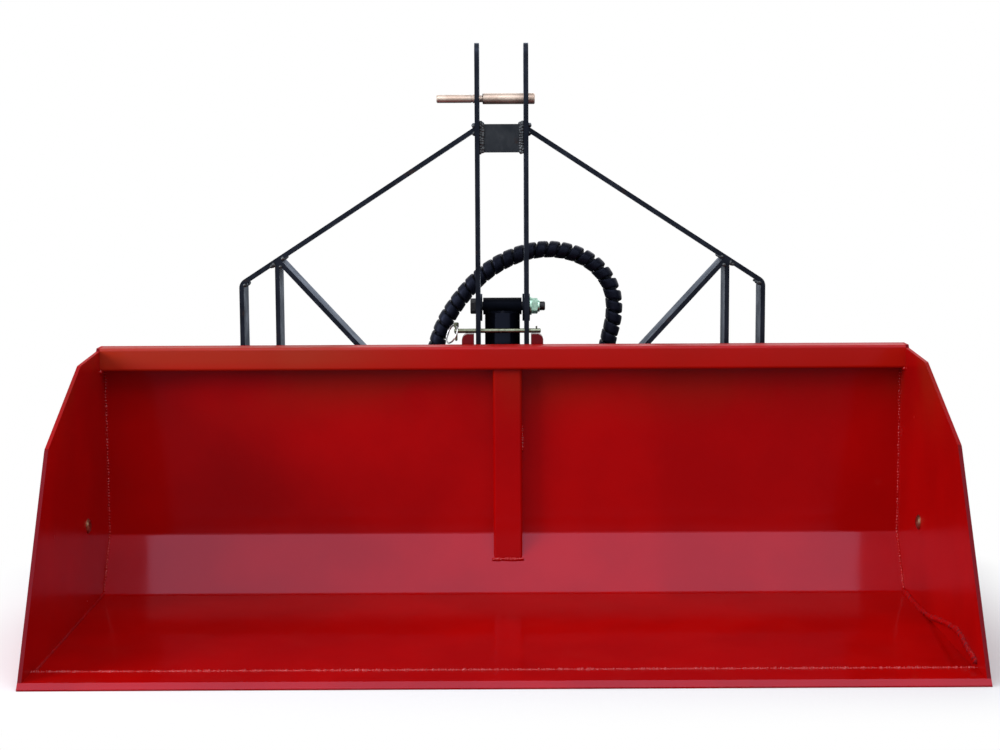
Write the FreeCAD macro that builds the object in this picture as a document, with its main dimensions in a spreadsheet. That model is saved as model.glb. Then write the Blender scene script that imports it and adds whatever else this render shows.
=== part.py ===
import FreeCAD, Part
import math
import os
import Sketcher

# Hydraulic tipping bucket for a rear three-point linkage.
# Millimetres, +Z up. The mouth faces -Y and the hitch frame stands behind, at +Y.
# The origin is on the ground, under the middle of the whole.

SIZES = {
    # bucket
    "bucket_width": 1400, "bucket_height": 430, "floor_depth": 580, "back_depth": 650,
    "slope_height": 96, "sheet_thick": 4, "sheet_bend": 6, "side_thick": 6,
    "lip_depth": 70, "lip_thick": 10, "lip_bevel": 8, "lip_nose": 2,
    "knee_depth": 217, "knee_drop": 114, "shoulder_depth": 460, "shoulder_drop": 13,
    "side_drop": 5, "side_round": 12,
    "rail_size": 40, "rail_wall": 3, "rail_round": 5,
    "rib_width": 50, "rib_depth": 30, "rib_wall": 3, "rib_round": 5, "rib_offset": 8,
    "side_bolt_depth": 478, "side_bolt_height": 146, "side_bolt_dia": 10,
    "coach_head_dia": 25, "coach_head_rise": 5.5, "side_washer_dia": 21, "side_nut_flats": 17,
    "side_nut_tall": 8, "side_bolt_length": 30,
    # bucket hinge and crank
    "hinge_reach": 108.5, "hinge_height": 60, "hinge_station": 200, "hinge_pin_dia": 20,
    "hinge_lug_thick": 8, "hinge_lug_gap": 42, "hinge_lug_round": 24, "hinge_lug_rise": 74,
    "bush_width": 40, "bush_dia": 36, "ear_thick": 12, "ear_round": 24,
    "crank_arm": 80, "crank_angle": 25, "tilt_range": 50,
    "rod_lug_thick": 8, "rod_lug_gap": 36, "rod_lug_round": 22, "rod_lug_rise": 46,
    # lock rod and its lugs
    "lock_setback": 11, "lock_drop": 40, "lock_dia": 8, "lock_left": 84.5, "lock_right": 67,
    "lock_lug_width": 21, "lock_lug_depth": 30, "lock_lug_drop": 62, "lock_lug_round": 10,
    "lock_lug_gap": 3.5, "lock_seat": 0.8, "linch_dia": 4.5, "linch_reach": 3.5,
    "linch_head_dia": 9, "ring_radius": 17, "ring_wire": 3, "ring_hole": 4.8,
    "ring_lean": 26, "ring_turn": 25,
    "stop_pin_dia": 3, "stop_pin_inset": 7.5, "stop_pin_rise": 4,
    # hitch frame
    "frame_gap": 6, "upright_width": 80, "upright_thick": 8, "upright_gap": 77,
    "upright_top": 950, "upright_base": 100, "upright_round": 20,
    "bar_width": 65, "bar_thick": 8, "bar_start": 802, "bar_bend": 536, "bar_reach": 460,
    "bar_bend_round": 10, "clevis_gap": 55, "link_height": 395, "link_dia": 22.4,
    "brace_top": 574, "brace_foot": 202, "plate_low": 762, "plate_high": 811,
    "plate_setback": 8, "plate_thick": 8, "beam_size": 60, "beam_wall": 4, "beam_round": 8,
    "beam_low": 100, "cap_thick": 3,
    # top link pin
    "pin_height": 855, "pin_dia": 19, "pin_handle_dia": 14, "pin_neck_dia": 12, "pin_left": 113,
    "pin_shoulder": 33, "pin_right": 58, "pin_chamfer": 1.5, "spare_hole_rise": 55,
    "pin_ring_dia": 15, "pin_ring_thick": 3, "pin_ring_play": 0.5, "pin_groove": 2,
    # cylinder
    "bolt_setback": 52, "bolt_height": 492, "bolt_dia": 16, "bolt_flats": 24, "bolt_head": 10,
    "bolt_length": 122, "washer_dia": 32, "washer_thick": 3, "nut_tall": 14.5, "nut_collar": 3.5,
    "disc_dia": 48, "disc_thick": 3, "outer_disc_thick": 2, "disc_drop": 2.3,
    "cross_dia": 30, "cross_width": 68,
    "barrel_dia": 62, "barrel_bore": 50, "barrel_top": 8, "barrel_end": 250, "base_thick": 20,
    "barrel_chamfer": 4, "gland_flange": 12, "gland_insert": 24, "wiper_dia": 38,
    "wiper_deep": 5, "rod_dia": 30, "spigot_dia": 20, "piston_start": 46, "piston_length": 30,
    "piston_nut_tall": 12, "piston_nut_flats": 30, "piston_seal_deep": 4,
    "piston_seal_wide": 8, "eye_thick": 32, "eye_half_tall": 22, "eye_margin": 14,
    "eye_top_round": 12, "eye_low_round": 20,
    "port_drop": 37, "port_dia": 24, "port_reach": 12, "port_hole": 8, "fitting_flats": 22,
    "fitting_long": 12, "elbow_dia": 18, "elbow_bend": 18, "ferrule_dia": 24,
    "ferrule_long": 36, "hose_dia": 17.5, "hose_lead": 41,
    "coupler_dia": 26, "coupler_long": 44, "cap_dia": 27, "cap_long": 30,
    # clearances
    "running": 0.06, "slack": 0.5, "axial_slack": 1.0, "eye_slack": 1.0,
}

# The hose after it has left the cylinder's ferrule: down behind the barrel, up in a loop
# over the frame and down again to the ground. Points on the centreline, chosen by hand.
HOSE_ROUTE = [
    (4.0, 376.0, 313.0), (24.0, 378.0, 268.0),
    (68.0, 382.0, 238.0), (122.0, 386.0, 238.0), (163.0, 389.0, 268.0), (181.0, 390.0, 313.0),
    (180.0, 390.0, 366.0), (187.0, 390.0, 420.0), (203.0, 390.0, 471.0), (199.0, 390.0, 522.0),
    (166.0, 390.0, 565.0), (116.0, 390.0, 587.0), (61.0, 390.0, 589.0), (8.0, 390.0, 572.0),
    (-39.0, 390.0, 542.0), (-77.0, 390.0, 500.0), (-107.0, 390.0, 455.0),
    (-124.0, 391.0, 403.0), (-132.0, 395.0, 348.0), (-133.0, 403.0, 293.0),
    (-130.0, 415.0, 239.0), (-124.0, 431.0, 186.0), (-115.0, 449.0, 134.0),
    (-102.0, 469.0, 83.0), (-79.0, 494.0, 41.0), (-37.0, 516.0, 13.5), (14.0, 521.0, 13.5),
    (64.0, 509.0, 13.5), (112.0, 496.0, 13.5),
]


class Size:
    """A size with its value now and the text that binds an object to it."""

    def __init__(self, value, text):
        self.value = float(value)
        self.text = text

    def __add__(self, other):
        other = size(other)
        return Size(self.value + other.value, f"({self.text} + {other.text})")

    def __sub__(self, other):
        other = size(other)
        return Size(self.value - other.value, f"({self.text} - {other.text})")

    def __mul__(self, other):
        other = size(other)
        return Size(self.value * other.value, f"({self.text} * {other.text})")

    def __truediv__(self, other):
        other = size(other)
        return Size(self.value / other.value, f"({self.text} / {other.text})")

    def __neg__(self):
        return self * -1

    __radd__ = __add__
    __rmul__ = __mul__

    def __rsub__(self, other):
        return size(other) - self


def size(number):
    """A plain number as a Size."""
    if isinstance(number, Size):
        return number
    return Size(number, f"({float(number)!r})")


def sine(angle):
    return Size(math.sin(math.radians(angle.value)), f"sin({angle.text} * 1 deg)")


def cosine(angle):
    return Size(math.cos(math.radians(angle.value)), f"cos({angle.text} * 1 deg)")


def tangent(angle):
    return Size(math.tan(math.radians(angle.value)), f"tan({angle.text} * 1 deg)")


def heading(rise, run):
    """The angle in degrees whose tangent is rise over run."""
    value = math.degrees(math.atan2(rise.value, run.value))
    return Size(value, f"(atan2({rise.text}; {run.text}) / 1 deg)")


def distance(rise, run):
    return Size(math.hypot(rise.value, run.value), f"sqrt({(rise * rise + run * run).text})")


class Sizes:
    """The driving dimensions, each bound to its cell, and the places they set."""

    def __init__(self, doc):
        sheet = doc.addObject("Spreadsheet::Sheet", "Sizes")
        for row, (name, value) in enumerate(SIZES.items(), start=1):
            sheet.set(f"A{row}", name)
            sheet.set(f"B{row}", str(value))
            sheet.setAlias(f"B{row}", name)
            setattr(self, name, Size(value, f"Sizes.{name}"))
        doc.recompute()
        self.centre_depths()
        self.set_bucket_places()
        self.set_frame_places()
        self.set_cylinder_places()

    def centre_depths(self):
        """Counts the depths, which the cells state from the lip's front, from the origin."""
        frame = self.frame_gap + self.upright_width + self.beam_size
        half = (self.back_depth + self.sheet_thick + frame) / 2
        self.lip_front = -half
        for name in (
            "floor_depth", "back_depth", "lip_depth", "knee_depth", "shoulder_depth",
            "side_bolt_depth",
        ):
            setattr(self, name, getattr(self, name) - half)

    def set_bucket_places(self):
        self.half_width = self.bucket_width / 2
        self.inner_half = self.half_width - self.side_thick
        self.wall_back = self.back_depth + self.sheet_thick
        rise = self.slope_height - self.sheet_thick
        self.slope_run = self.back_depth - self.floor_depth
        self.slope_angle = heading(rise, self.slope_run)
        self.heel_depth = self.floor_depth + self.sheet_thick * tangent(self.slope_angle / 2)
        half_turn = (90 - self.slope_angle) / 2
        self.heel_height = self.slope_height - self.sheet_thick * tangent(half_turn)
        self.rail_front = self.back_depth - self.rail_size
        self.rail_low = self.bucket_height - self.rail_size
        self.knee_height = self.bucket_height - self.knee_drop
        self.shoulder_height = self.bucket_height - self.shoulder_drop

    def slope_front(self, depth):
        """The height of the slope's upper face at a depth."""
        return self.sheet_thick + (depth - self.floor_depth) * tangent(self.slope_angle)

    def slope_back(self, height):
        """The depth of the slope's hidden face at a height."""
        return self.heel_depth + height / tangent(self.slope_angle)

    def set_frame_places(self):
        self.frame_front = self.wall_back + self.frame_gap
        self.frame_back = self.frame_front + self.upright_width
        self.bar_front = self.frame_back - self.bar_width
        self.upright_inner = self.upright_gap / 2
        self.upright_outer = self.upright_inner + self.upright_thick
        self.pin_depth = self.frame_front + self.upright_width / 2
        self.link_depth = self.frame_back - self.bar_width / 2
        self.bar_angle = heading(
            self.bar_start - self.bar_bend, self.bar_reach - self.bar_thick / 2 - self.upright_outer
        )
        self.bar_half_tall = self.bar_thick / 2 / cosine(self.bar_angle)
        self.clevis_outer = self.bar_reach - self.bar_thick - self.clevis_gap
        self.clevis_inner = self.clevis_outer - self.bar_thick
        self.beam_back = self.frame_back + self.beam_size
        self.beam_high = self.beam_low + self.beam_size
        self.lock_depth = self.frame_front + self.lock_setback
        self.lock_height = self.bolt_height - self.lock_drop

    def bar_under(self, reach):
        """The height of the sloping bar's underside at a distance from the middle."""
        drop = (reach - self.upright_outer) * tangent(self.bar_angle)
        return self.bar_start - self.bar_half_tall - drop

    def bar_over(self, reach):
        """The height of the sloping bar's top side at a distance from the middle."""
        return self.bar_under(reach) + self.bar_half_tall * 2

    def set_cylinder_places(self):
        self.hinge_depth = self.wall_back + self.hinge_reach
        crank_run = self.crank_arm * cosine(self.crank_angle)
        self.rod_pin_depth = self.hinge_depth - crank_run
        self.rod_pin_height = self.hinge_height + self.crank_arm * sine(self.crank_angle)
        self.cylinder_depth = self.frame_front + self.bolt_setback
        # The rod pin's arc bows this far out of its chord while the bucket tips.
        self.arc_bow = self.crank_arm * (1 - cosine(self.tilt_range / 2))
        eye_depth = self.rod_pin_depth - self.arc_bow / 2
        drop = self.bolt_height - self.rod_pin_height
        self.cylinder_lean = heading(self.cylinder_depth - eye_depth, drop)
        self.cylinder_length = distance(self.cylinder_depth - eye_depth, drop)
        self.disc_outer = self.upright_outer + self.outer_disc_thick
        self.barrel_radius = self.barrel_dia / 2


def origin_plane(body, role):
    return next(f for f in body.Origin.OriginFeatures if f.Role == role)


PLANES = {"X": "YZ_Plane", "Y": "XZ_Plane", "Z": "XY_Plane"}


def new_sketch(body, axis, name, start=None):
    """A sketch square to an axis, moved along it to start."""
    sketch = body.newObject("Sketcher::SketchObject", name)
    sketch.AttachmentSupport = (origin_plane(body, PLANES[axis]), [""])
    sketch.MapMode = "FlatFace"
    if start is not None:
        # The XZ plane of a body looks towards -Y.
        shift = -start if axis == "Y" else start
        sketch.AttachmentOffset = FreeCAD.Placement(
            FreeCAD.Vector(0, 0, shift.value), FreeCAD.Rotation()
        )
        sketch.setExpression("AttachmentOffset.Base.z", shift.text)
    return sketch


def dimension(sketch, kind, piece, point, value):
    """Ties a point's distance from the sketch's origin to a size."""
    index = sketch.addConstraint(Sketcher.Constraint(kind, -1, 1, piece, point, value.value))
    sketch.setExpression(f"Constraints[{index}]", value.text)


def draw_outline(sketch, outline):
    """A closed run of straight lines through the outline's points."""
    outline = [(size(u), size(v)) for u, v in outline]
    corners = [FreeCAD.Vector(u.value, v.value, 0) for u, v in outline]
    first = sketch.GeometryCount
    count = len(corners)
    for i in range(count):
        sketch.addGeometry(Part.LineSegment(corners[i], corners[(i + 1) % count]), False)
    for i in range(count):
        follower = first + (i + 1) % count
        sketch.addConstraint(Sketcher.Constraint("Coincident", first + i, 2, follower, 1))
    for i, (u, v) in enumerate(outline):
        dimension(sketch, "DistanceX", first + i, 1, u)
        dimension(sketch, "DistanceY", first + i, 1, v)


def draw_circle(sketch, u, v, radius):
    u, v, radius = size(u), size(v), size(radius)
    centre = FreeCAD.Vector(u.value, v.value, 0)
    circle = Part.Circle(centre, FreeCAD.Vector(0, 0, 1), radius.value)
    index = sketch.addGeometry(circle, False)
    dimension(sketch, "DistanceX", index, 3, u)
    dimension(sketch, "DistanceY", index, 3, v)
    rule = sketch.addConstraint(Sketcher.Constraint("Radius", index, radius.value))
    sketch.setExpression(f"Constraints[{rule}]", radius.text)


FLAT = {"X": ("y", "z"), "Y": ("x", "z"), "Z": ("x", "y")}


def corner_edges(shape, axis, corners):
    """The names of the edges along an axis that stand on the given corners."""
    first, second = FLAT[axis]
    names = []
    for number, edge in enumerate(shape.Edges, start=1):
        ends = [v.Point for v in edge.Vertexes]
        for u, v in corners:
            if len(ends) == 2 and all(
                abs(getattr(p, first) - u.value) < 0.01 and abs(getattr(p, second) - v.value) < 0.01
                for p in ends
            ):
                names.append(f"Edge{number}")
    return names


def round_corners(doc, body, axis, rounds):
    """Rounds the corners of a plate, a radius at a time."""
    for number, (radius, corners) in enumerate(rounds):
        doc.recompute()
        base = body.Tip
        corners = [(size(u), size(v)) for u, v in corners]
        names = corner_edges(base.Shape, axis, corners)
        if len(names) != len(corners):
            raise ValueError(f"{body.Label}: {len(names)} edges stand on {len(corners)} corners")
        fillet = body.newObject("PartDesign::Fillet", f"{body.Name}Round{number}")
        fillet.Base = (base, names)
        radius = size(radius)
        fillet.Radius = radius.value
        fillet.setExpression("Radius", radius.text)
        body.Tip = fillet


def plate(doc, name, axis, start, thick, outline, circles=(), cutouts=(), rounds=()):
    """A flat piece: an outline square to an axis, given its thickness along it."""
    body = doc.addObject("PartDesign::Body", name)
    body.Label = name
    start, thick = size(start), size(thick)
    # A pad grows along the sketch's own normal, which is -Y on the XZ plane.
    sketch = new_sketch(body, axis, f"{name}_outline", start + thick if axis == "Y" else start)
    draw_outline(sketch, outline)
    for cutout in cutouts:
        draw_outline(sketch, cutout)
    for u, v, radius in circles:
        draw_circle(sketch, u, v, radius)
    pad = body.newObject("PartDesign::Pad", f"{name}_pad")
    pad.Profile = sketch
    pad.Length = thick.value
    pad.setExpression("Length", thick.text)
    body.Tip = pad
    round_corners(doc, body, axis, rounds)
    return body


def cut_through(doc, body, axis, outlines=(), circles=()):
    """Cuts outlines and round holes right through a body along an axis."""
    doc.recompute()
    before = body.Tip.Shape.Volume
    sketch = new_sketch(body, axis, f"{body.Name}_cut_{axis}")
    for outline in outlines:
        draw_outline(sketch, outline)
    for u, v, radius in circles:
        draw_circle(sketch, u, v, radius)
    pocket = body.newObject("PartDesign::Pocket", f"{body.Name}_pocket_{axis}")
    pocket.Profile = sketch
    pocket.Type = "ThroughAll"
    pocket.Midplane = True
    body.Tip = pocket
    doc.recompute()
    if pocket.Shape.Volume >= before:
        raise ValueError(f"{body.Label}: a cut along {axis} took nothing away")
    return body


def turned(doc, name, profile):
    """A round piece about its own Z axis, from pairs of radius and height."""
    body = doc.addObject("PartDesign::Body", name)
    body.Label = name
    sketch = new_sketch(body, "Y", f"{name}_profile")
    draw_outline(sketch, profile)
    turn = body.newObject("PartDesign::Revolution", f"{name}_turn")
    turn.Profile = sketch
    turn.ReferenceAxis = (sketch, ["V_Axis"])
    turn.Angle = 360
    body.Tip = turn
    return body


def place(piece, x=0, y=0, z=0, axis=(1, 0, 0), angle=0):
    """Turns a piece about an axis through its own origin and moves it to its place."""
    x, y, z, angle = size(x), size(y), size(z), size(angle)
    piece.Placement = FreeCAD.Placement(
        FreeCAD.Vector(x.value, y.value, z.value),
        FreeCAD.Rotation(FreeCAD.Vector(*axis), angle.value),
    )
    for path, value in (("x", x), ("y", y), ("z", z)):
        piece.setExpression(f"Placement.Base.{path}", value.text)
    piece.setExpression("Placement.Rotation.Angle", angle.text)
    return piece


def lay_along_x(piece, x=0, y=0, z=0):
    """Lays a turned piece so that its own Z axis points along +X."""
    return place(piece, x, y, z, axis=(0, 1, 0), angle=90)


def cylinder(doc, name, radius, height):
    piece = doc.addObject("Part::Cylinder", name)
    for field, value in (("Radius", size(radius)), ("Height", size(height))):
        setattr(piece, field, value.value)
        piece.setExpression(field, value.text)
    return piece


def cone(doc, name, low, high, height):
    piece = doc.addObject("Part::Cone", name)
    for field, value in (("Radius1", size(low)), ("Radius2", size(high)), ("Height", size(height))):
        setattr(piece, field, value.value)
        piece.setExpression(field, value.text)
    return piece


def hexagon(doc, name, flats, height):
    """A six-sided prism of a width across flats."""
    piece = doc.addObject("Part::Prism", name)
    piece.Polygon = 6
    corner = size(flats) / math.sqrt(3)
    height = size(height)
    piece.Circumradius = corner.value
    piece.setExpression("Circumradius", corner.text)
    piece.Height = height.value
    piece.setExpression("Height", height.text)
    return piece


def boolean(doc, kind, name, base, tool):
    piece = doc.addObject(kind, name)
    piece.Base = base
    piece.Tool = tool
    piece.Label = name
    return piece


def cut(doc, name, base, tool):
    return boolean(doc, "Part::Cut", name, base, tool)


def fuse(doc, name, base, tool):
    return boolean(doc, "Part::Fuse", name, base, tool)


def hex_nut(doc, name, flats, height, bore, bevel_angle=30):
    """A nut on its own Z axis with its outer corners bevelled."""
    corner = size(flats) / math.sqrt(3)
    height = size(height)
    blank = hexagon(doc, f"{name}_blank", flats, height)
    # A cone that meets the flats at the top face bevels only the corners.
    high = size(flats) / 2
    low = high + height / math.tan(math.radians(bevel_angle))
    bevel = cone(doc, f"{name}_bevel", low, high, height)
    head = boolean(doc, "Part::Common", f"{name}_head", blank, bevel)
    if bore is None:
        return head
    hole = cylinder(doc, f"{name}_hole", bore, height + corner)
    place(hole, z=-corner / 2)
    return cut(doc, name, head, hole)


def group(doc, name, pieces):
    """Like pieces that share one node."""
    piece = doc.addObject("Part::Compound", name)
    piece.Links = pieces
    piece.Label = name
    return piece


def mirrored(doc, name, source):
    """The same piece on the other side of the middle plane."""
    piece = doc.addObject("Part::Mirroring", name)
    piece.Source = source
    piece.Normal = (1, 0, 0)
    piece.Base = (0, 0, 0)
    return piece


def both_sides(doc, name, source):
    return group(doc, name, [source, mirrored(doc, f"{name}_mirror", source)])


def across(side, near, thick):
    """Where a plate starts along X so that it runs from near outwards on its side."""
    return near if side > 0 else -(near + thick)


# Bucket


def folded_sheet(doc, q):
    """Floor, slope and back wall, folded from one sheet."""
    inner_heel = (q.floor_depth, q.sheet_thick)
    inner_bend = (q.back_depth, q.slope_height)
    outer_heel = (q.heel_depth, 0)
    outer_bend = (q.wall_back, q.heel_height)
    outline = [
        (q.lip_depth, 0), outer_heel, outer_bend, (q.wall_back, q.bucket_height),
        (q.back_depth, q.bucket_height), inner_bend, inner_heel, (q.lip_depth, q.sheet_thick),
    ]
    rounds = [
        (q.sheet_bend, [inner_heel, inner_bend]),
        (q.sheet_bend + q.sheet_thick, [outer_heel, outer_bend]),
    ]
    return plate(
        doc, "floor_and_back", "X", -q.inner_half, q.inner_half * 2, outline, rounds=rounds
    )


def side_plate(doc, q, side, name):
    knee = (q.knee_depth, q.knee_height)
    shoulder = (q.shoulder_depth, q.shoulder_height)
    outline = [
        (q.lip_front + q.lip_bevel, q.lip_thick), knee, shoulder,
        (q.rail_front, q.bucket_height - q.side_drop),
        (q.rail_front + q.side_drop, q.bucket_height), (q.wall_back, q.bucket_height),
        (q.wall_back, q.heel_height), (q.heel_depth, 0), (q.lip_depth, 0),
        (q.lip_depth, q.lip_thick),
    ]
    hole = (q.side_bolt_depth, q.side_bolt_height, q.side_bolt_dia / 2 + q.slack)
    start = across(side, q.inner_half, q.side_thick)
    rounds = [(q.side_round, [knee, shoulder])]
    return plate(doc, name, "X", start, q.side_thick, outline, [hole], rounds=rounds)


def cutting_edge(doc, q):
    """The thick lip plate, bevelled on top down to a blunt nose."""
    outline = [
        (q.lip_front, 0), (q.lip_depth, 0), (q.lip_depth, q.lip_thick),
        (q.lip_front + q.lip_bevel, q.lip_thick), (q.lip_front, q.lip_nose),
    ]
    return plate(doc, "cutting_edge", "X", -q.half_width, q.bucket_width, outline)


def square(low_u, low_v, high_u, high_v, inset=0):
    """The corners of a box section, drawn in by the inset."""
    a, b = size(low_u) + inset, size(low_v) + inset
    c, d = size(high_u) - inset, size(high_v) - inset
    return [(a, b), (c, b), (c, d), (a, d)]


def top_rail(doc, q):
    outer = square(q.rail_front, q.rail_low, q.back_depth, q.bucket_height)
    inner = square(q.rail_front, q.rail_low, q.back_depth, q.bucket_height, q.rail_wall)
    rounds = [(q.rail_round, outer), (q.rail_round - q.rail_wall, inner)]
    return plate(
        doc, "top_rail", "X", -q.inner_half, q.inner_half * 2, outer, cutouts=[inner],
        rounds=rounds,
    )


def centre_rib(doc, q):
    """A box-section rib from the rail down to the slope, with its foot cut to fit."""
    low_x, high_x = q.rib_offset - q.rib_width / 2, q.rib_offset + q.rib_width / 2
    front = q.back_depth - q.rib_depth
    outer = square(low_x, front, high_x, q.back_depth)
    inner = square(low_x, front, high_x, q.back_depth, q.rib_wall)
    rounds = [(q.rib_round, outer), (q.rib_round - q.rib_wall, inner)]
    rib = plate(doc, "centre_rib", "Z", 0, q.rail_low, outer, cutouts=[inner], rounds=rounds)
    foot_front, foot_back = front - q.rib_wall, q.back_depth + q.rib_wall
    # The foot's corner is cut off where the sheet bends up into the wall.
    corner = (q.sheet_bend + q.running) * tangent((90 - q.slope_angle) / 2)
    corner_depth = q.back_depth - corner * cosine(q.slope_angle)
    below = [
        (foot_front, q.slope_front(foot_front)), (corner_depth, q.slope_front(corner_depth)),
        (q.back_depth, q.slope_height + corner), (foot_back, q.slope_height + corner),
        (foot_back, -q.slope_height), (foot_front, -q.slope_height),
    ]
    return cut_through(doc, rib, "X", outlines=[below])


def hinge_lugs(doc, q, side, name):
    """A pair of plates under the slope that carry one bucket hinge."""
    boss = q.hinge_lug_round
    low = q.lip_thick
    end = q.hinge_depth + boss
    top, bottom = q.hinge_height + boss, q.hinge_height - boss
    outline = [
        (q.slope_back(low), low), (q.wall_back, q.heel_height),
        (q.wall_back, q.heel_height + q.hinge_lug_rise),
        (q.wall_back + q.hinge_reach / 2, top), (end, top), (end, bottom),
    ]
    hole = (q.hinge_depth, q.hinge_height, q.hinge_pin_dia / 2 + q.running)
    plates = []
    for place_name, offset in (("inner", -1), ("outer", 1)):
        near = q.hinge_station - q.hinge_lug_gap / 2 - q.hinge_lug_thick
        if offset > 0:
            near = q.hinge_station + q.hinge_lug_gap / 2
        plates.append(
            plate(
                doc, f"{name}_{place_name}", "X", across(side, near, q.hinge_lug_thick),
                q.hinge_lug_thick, outline, [hole],
                rounds=[(boss - q.slack, [(end, top), (end, bottom)])],
            )
        )
    return group(doc, name, plates)


def rod_lugs(doc, q):
    """The two plates behind the slope that hold the cylinder rod's pin."""
    boss = q.rod_lug_round
    low = q.slope_height / 2
    end = q.rod_pin_depth + boss
    top, bottom = q.rod_pin_height + boss, q.rod_pin_height - boss
    outline = [
        (q.slope_back(low), low), (q.wall_back, q.heel_height),
        (q.wall_back, q.heel_height + q.rod_lug_rise), (end, top), (end, bottom),
    ]
    hole = (q.rod_pin_depth, q.rod_pin_height, q.hinge_pin_dia / 2 + q.running)
    lug = plate(
        doc, "rod_lug", "X", q.rod_lug_gap / 2, q.rod_lug_thick, outline, [hole],
        rounds=[(boss - q.slack, [(end, top), (end, bottom)])],
    )
    return both_sides(doc, "rod_lugs", lug)


def headed_pin(doc, name, grip, diameter):
    """A pin with a flat head below and a bevelled end above its grip."""
    radius = diameter / 2
    head = diameter / 4
    bevel = diameter / 10
    return turned(doc, name, [
        (0, -head), (radius * 1.4, -head), (radius * 1.4, 0), (radius, 0),
        (radius, grip + head * 2 - bevel), (radius - bevel, grip + head * 2),
        (0, grip + head * 2),
    ])


def pin_washer(doc, name, start, diameter, running):
    """The washer that the split pin holds at the end of a hinge pin."""
    inner = diameter / 2 + running
    outer = diameter * 0.75
    thick = diameter / 8
    return turned(doc, name, [
        (inner, start), (outer, start), (outer, start + thick), (inner, start + thick),
    ])


def hinge_pins(doc, q):
    """The headed pins of the two bucket hinges and their washers, as two nodes."""
    grip = q.hinge_lug_gap + q.hinge_lug_thick * 2
    start = q.hinge_station - grip / 2
    pin = headed_pin(doc, "hinge_pin", grip, q.hinge_pin_dia)
    lay_along_x(pin, start, q.hinge_depth, q.hinge_height)
    washer = pin_washer(doc, "hinge_washer", grip, q.hinge_pin_dia, q.running)
    lay_along_x(washer, start, q.hinge_depth, q.hinge_height)
    return [both_sides(doc, "hinge_pins", pin), both_sides(doc, "hinge_pin_washers", washer)]


def rod_pin(doc, q):
    grip = q.rod_lug_gap + q.rod_lug_thick * 2
    pin = headed_pin(doc, "rod_pin", grip, q.hinge_pin_dia)
    lay_along_x(pin, -grip / 2, q.rod_pin_depth, q.rod_pin_height)
    washer = pin_washer(doc, "rod_pin_washer", grip, q.hinge_pin_dia, q.running)
    lay_along_x(washer, -grip / 2, q.rod_pin_depth, q.rod_pin_height)
    return [pin, washer]


def lock_lug(doc, q, side, name):
    """A lug on the bucket's back beside an upright, with its top just under the rod."""
    near = q.upright_outer + q.lock_lug_gap
    far = near + q.lock_lug_width
    top = q.lock_height - q.lock_dia / 2 - q.lock_seat
    shoulder = (far * side, top)
    outline = [
        (near * side, top - q.lock_lug_drop), (far * side, top - q.lock_lug_drop), shoulder,
        (near * side, top),
    ]
    rounds = [(q.lock_lug_round, [shoulder])]
    return plate(doc, name, "Y", q.wall_back, q.lock_lug_depth, outline, rounds=rounds)


def side_bolts(doc, q):
    """Coach bolts through the side plates, with their washers and nuts outside."""
    radius = q.side_bolt_dia / 2
    head = q.coach_head_dia / 2
    rise = q.coach_head_rise
    bolt = turned(doc, "side_bolt", [
        (0, -rise), (head * 0.45, -rise * 0.9), (head * 0.8, -rise * 0.6), (head, -rise * 0.2),
        (head, 0), (radius, 0), (radius, q.side_bolt_length - 1), (radius - 1, q.side_bolt_length),
        (0, q.side_bolt_length),
    ])
    lay_along_x(bolt, q.inner_half, q.side_bolt_depth, q.side_bolt_height)
    washer_thick = q.side_bolt_dia / 5
    washer_hole = radius + q.slack
    washer_rim = q.side_washer_dia / 2
    washer = turned(doc, "side_washer", [
        (washer_hole, 0), (washer_rim, 0), (washer_rim, washer_thick), (washer_hole, washer_thick),
    ])
    lay_along_x(washer, q.half_width, q.side_bolt_depth, q.side_bolt_height)
    nut = hex_nut(doc, "side_nut", q.side_nut_flats, q.side_nut_tall, radius + q.running)
    lay_along_x(nut, q.half_width + washer_thick, q.side_bolt_depth, q.side_bolt_height)
    return [
        both_sides(doc, "side_bolts", bolt), both_sides(doc, "side_bolt_washers", washer),
        both_sides(doc, "side_bolt_nuts", nut),
    ]


# Hitch frame


def upright(doc, q, side, name):
    """A tall flat bar with the holes for the top link, the cylinder and the lock rod."""
    front, back, top = q.frame_front, q.frame_back, q.upright_top
    outline = [(front, q.upright_base), (back, q.upright_base), (back, top), (front, top)]
    link_hole = q.pin_dia / 2 + q.running * 3
    circles = [
        (q.pin_depth, q.pin_height, link_hole),
        (q.pin_depth, q.pin_height + q.spare_hole_rise, link_hole),
        (q.cylinder_depth, q.bolt_height, q.bolt_dia / 2 + q.slack),
        (q.lock_depth, q.lock_height, q.lock_dia / 2 + q.slack),
    ]
    start = across(side, q.upright_inner, q.upright_thick)
    rounds = [(q.upright_round, [(front, top), (back, top)])]
    return plate(doc, name, "X", start, q.upright_thick, outline, circles, rounds=rounds)


def cross_plate(doc, q):
    outline = square(-q.upright_inner, q.plate_low, q.upright_inner, q.plate_high)
    start = q.frame_front + q.plate_setback
    return plate(doc, "top_cross_plate", "Y", start, q.plate_thick, outline)


def bent_bar(doc, q, side, name):
    """The sloping bar that bends down into the outer plate of the lower clevis."""
    inner_face = q.bar_reach - q.bar_thick
    outer_corner = (q.bar_reach * side, q.bar_over(q.bar_reach))
    inner_corner = (inner_face * side, q.bar_under(inner_face))
    outline = [
        (q.upright_outer * side, q.bar_under(q.upright_outer)),
        (q.upright_outer * side, q.bar_over(q.upright_outer)), outer_corner,
        (q.bar_reach * side, q.beam_low), (inner_face * side, q.beam_low), inner_corner,
    ]
    rounds = [
        (q.bar_bend_round, [inner_corner]), (q.bar_bend_round + q.bar_thick, [outer_corner]),
    ]
    bar = plate(doc, name, "Y", q.bar_front, q.bar_width, outline, rounds=rounds)
    return cut_through(
        doc, bar, "X", circles=[(q.link_depth, q.link_height, q.link_dia / 2)]
    )


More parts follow.
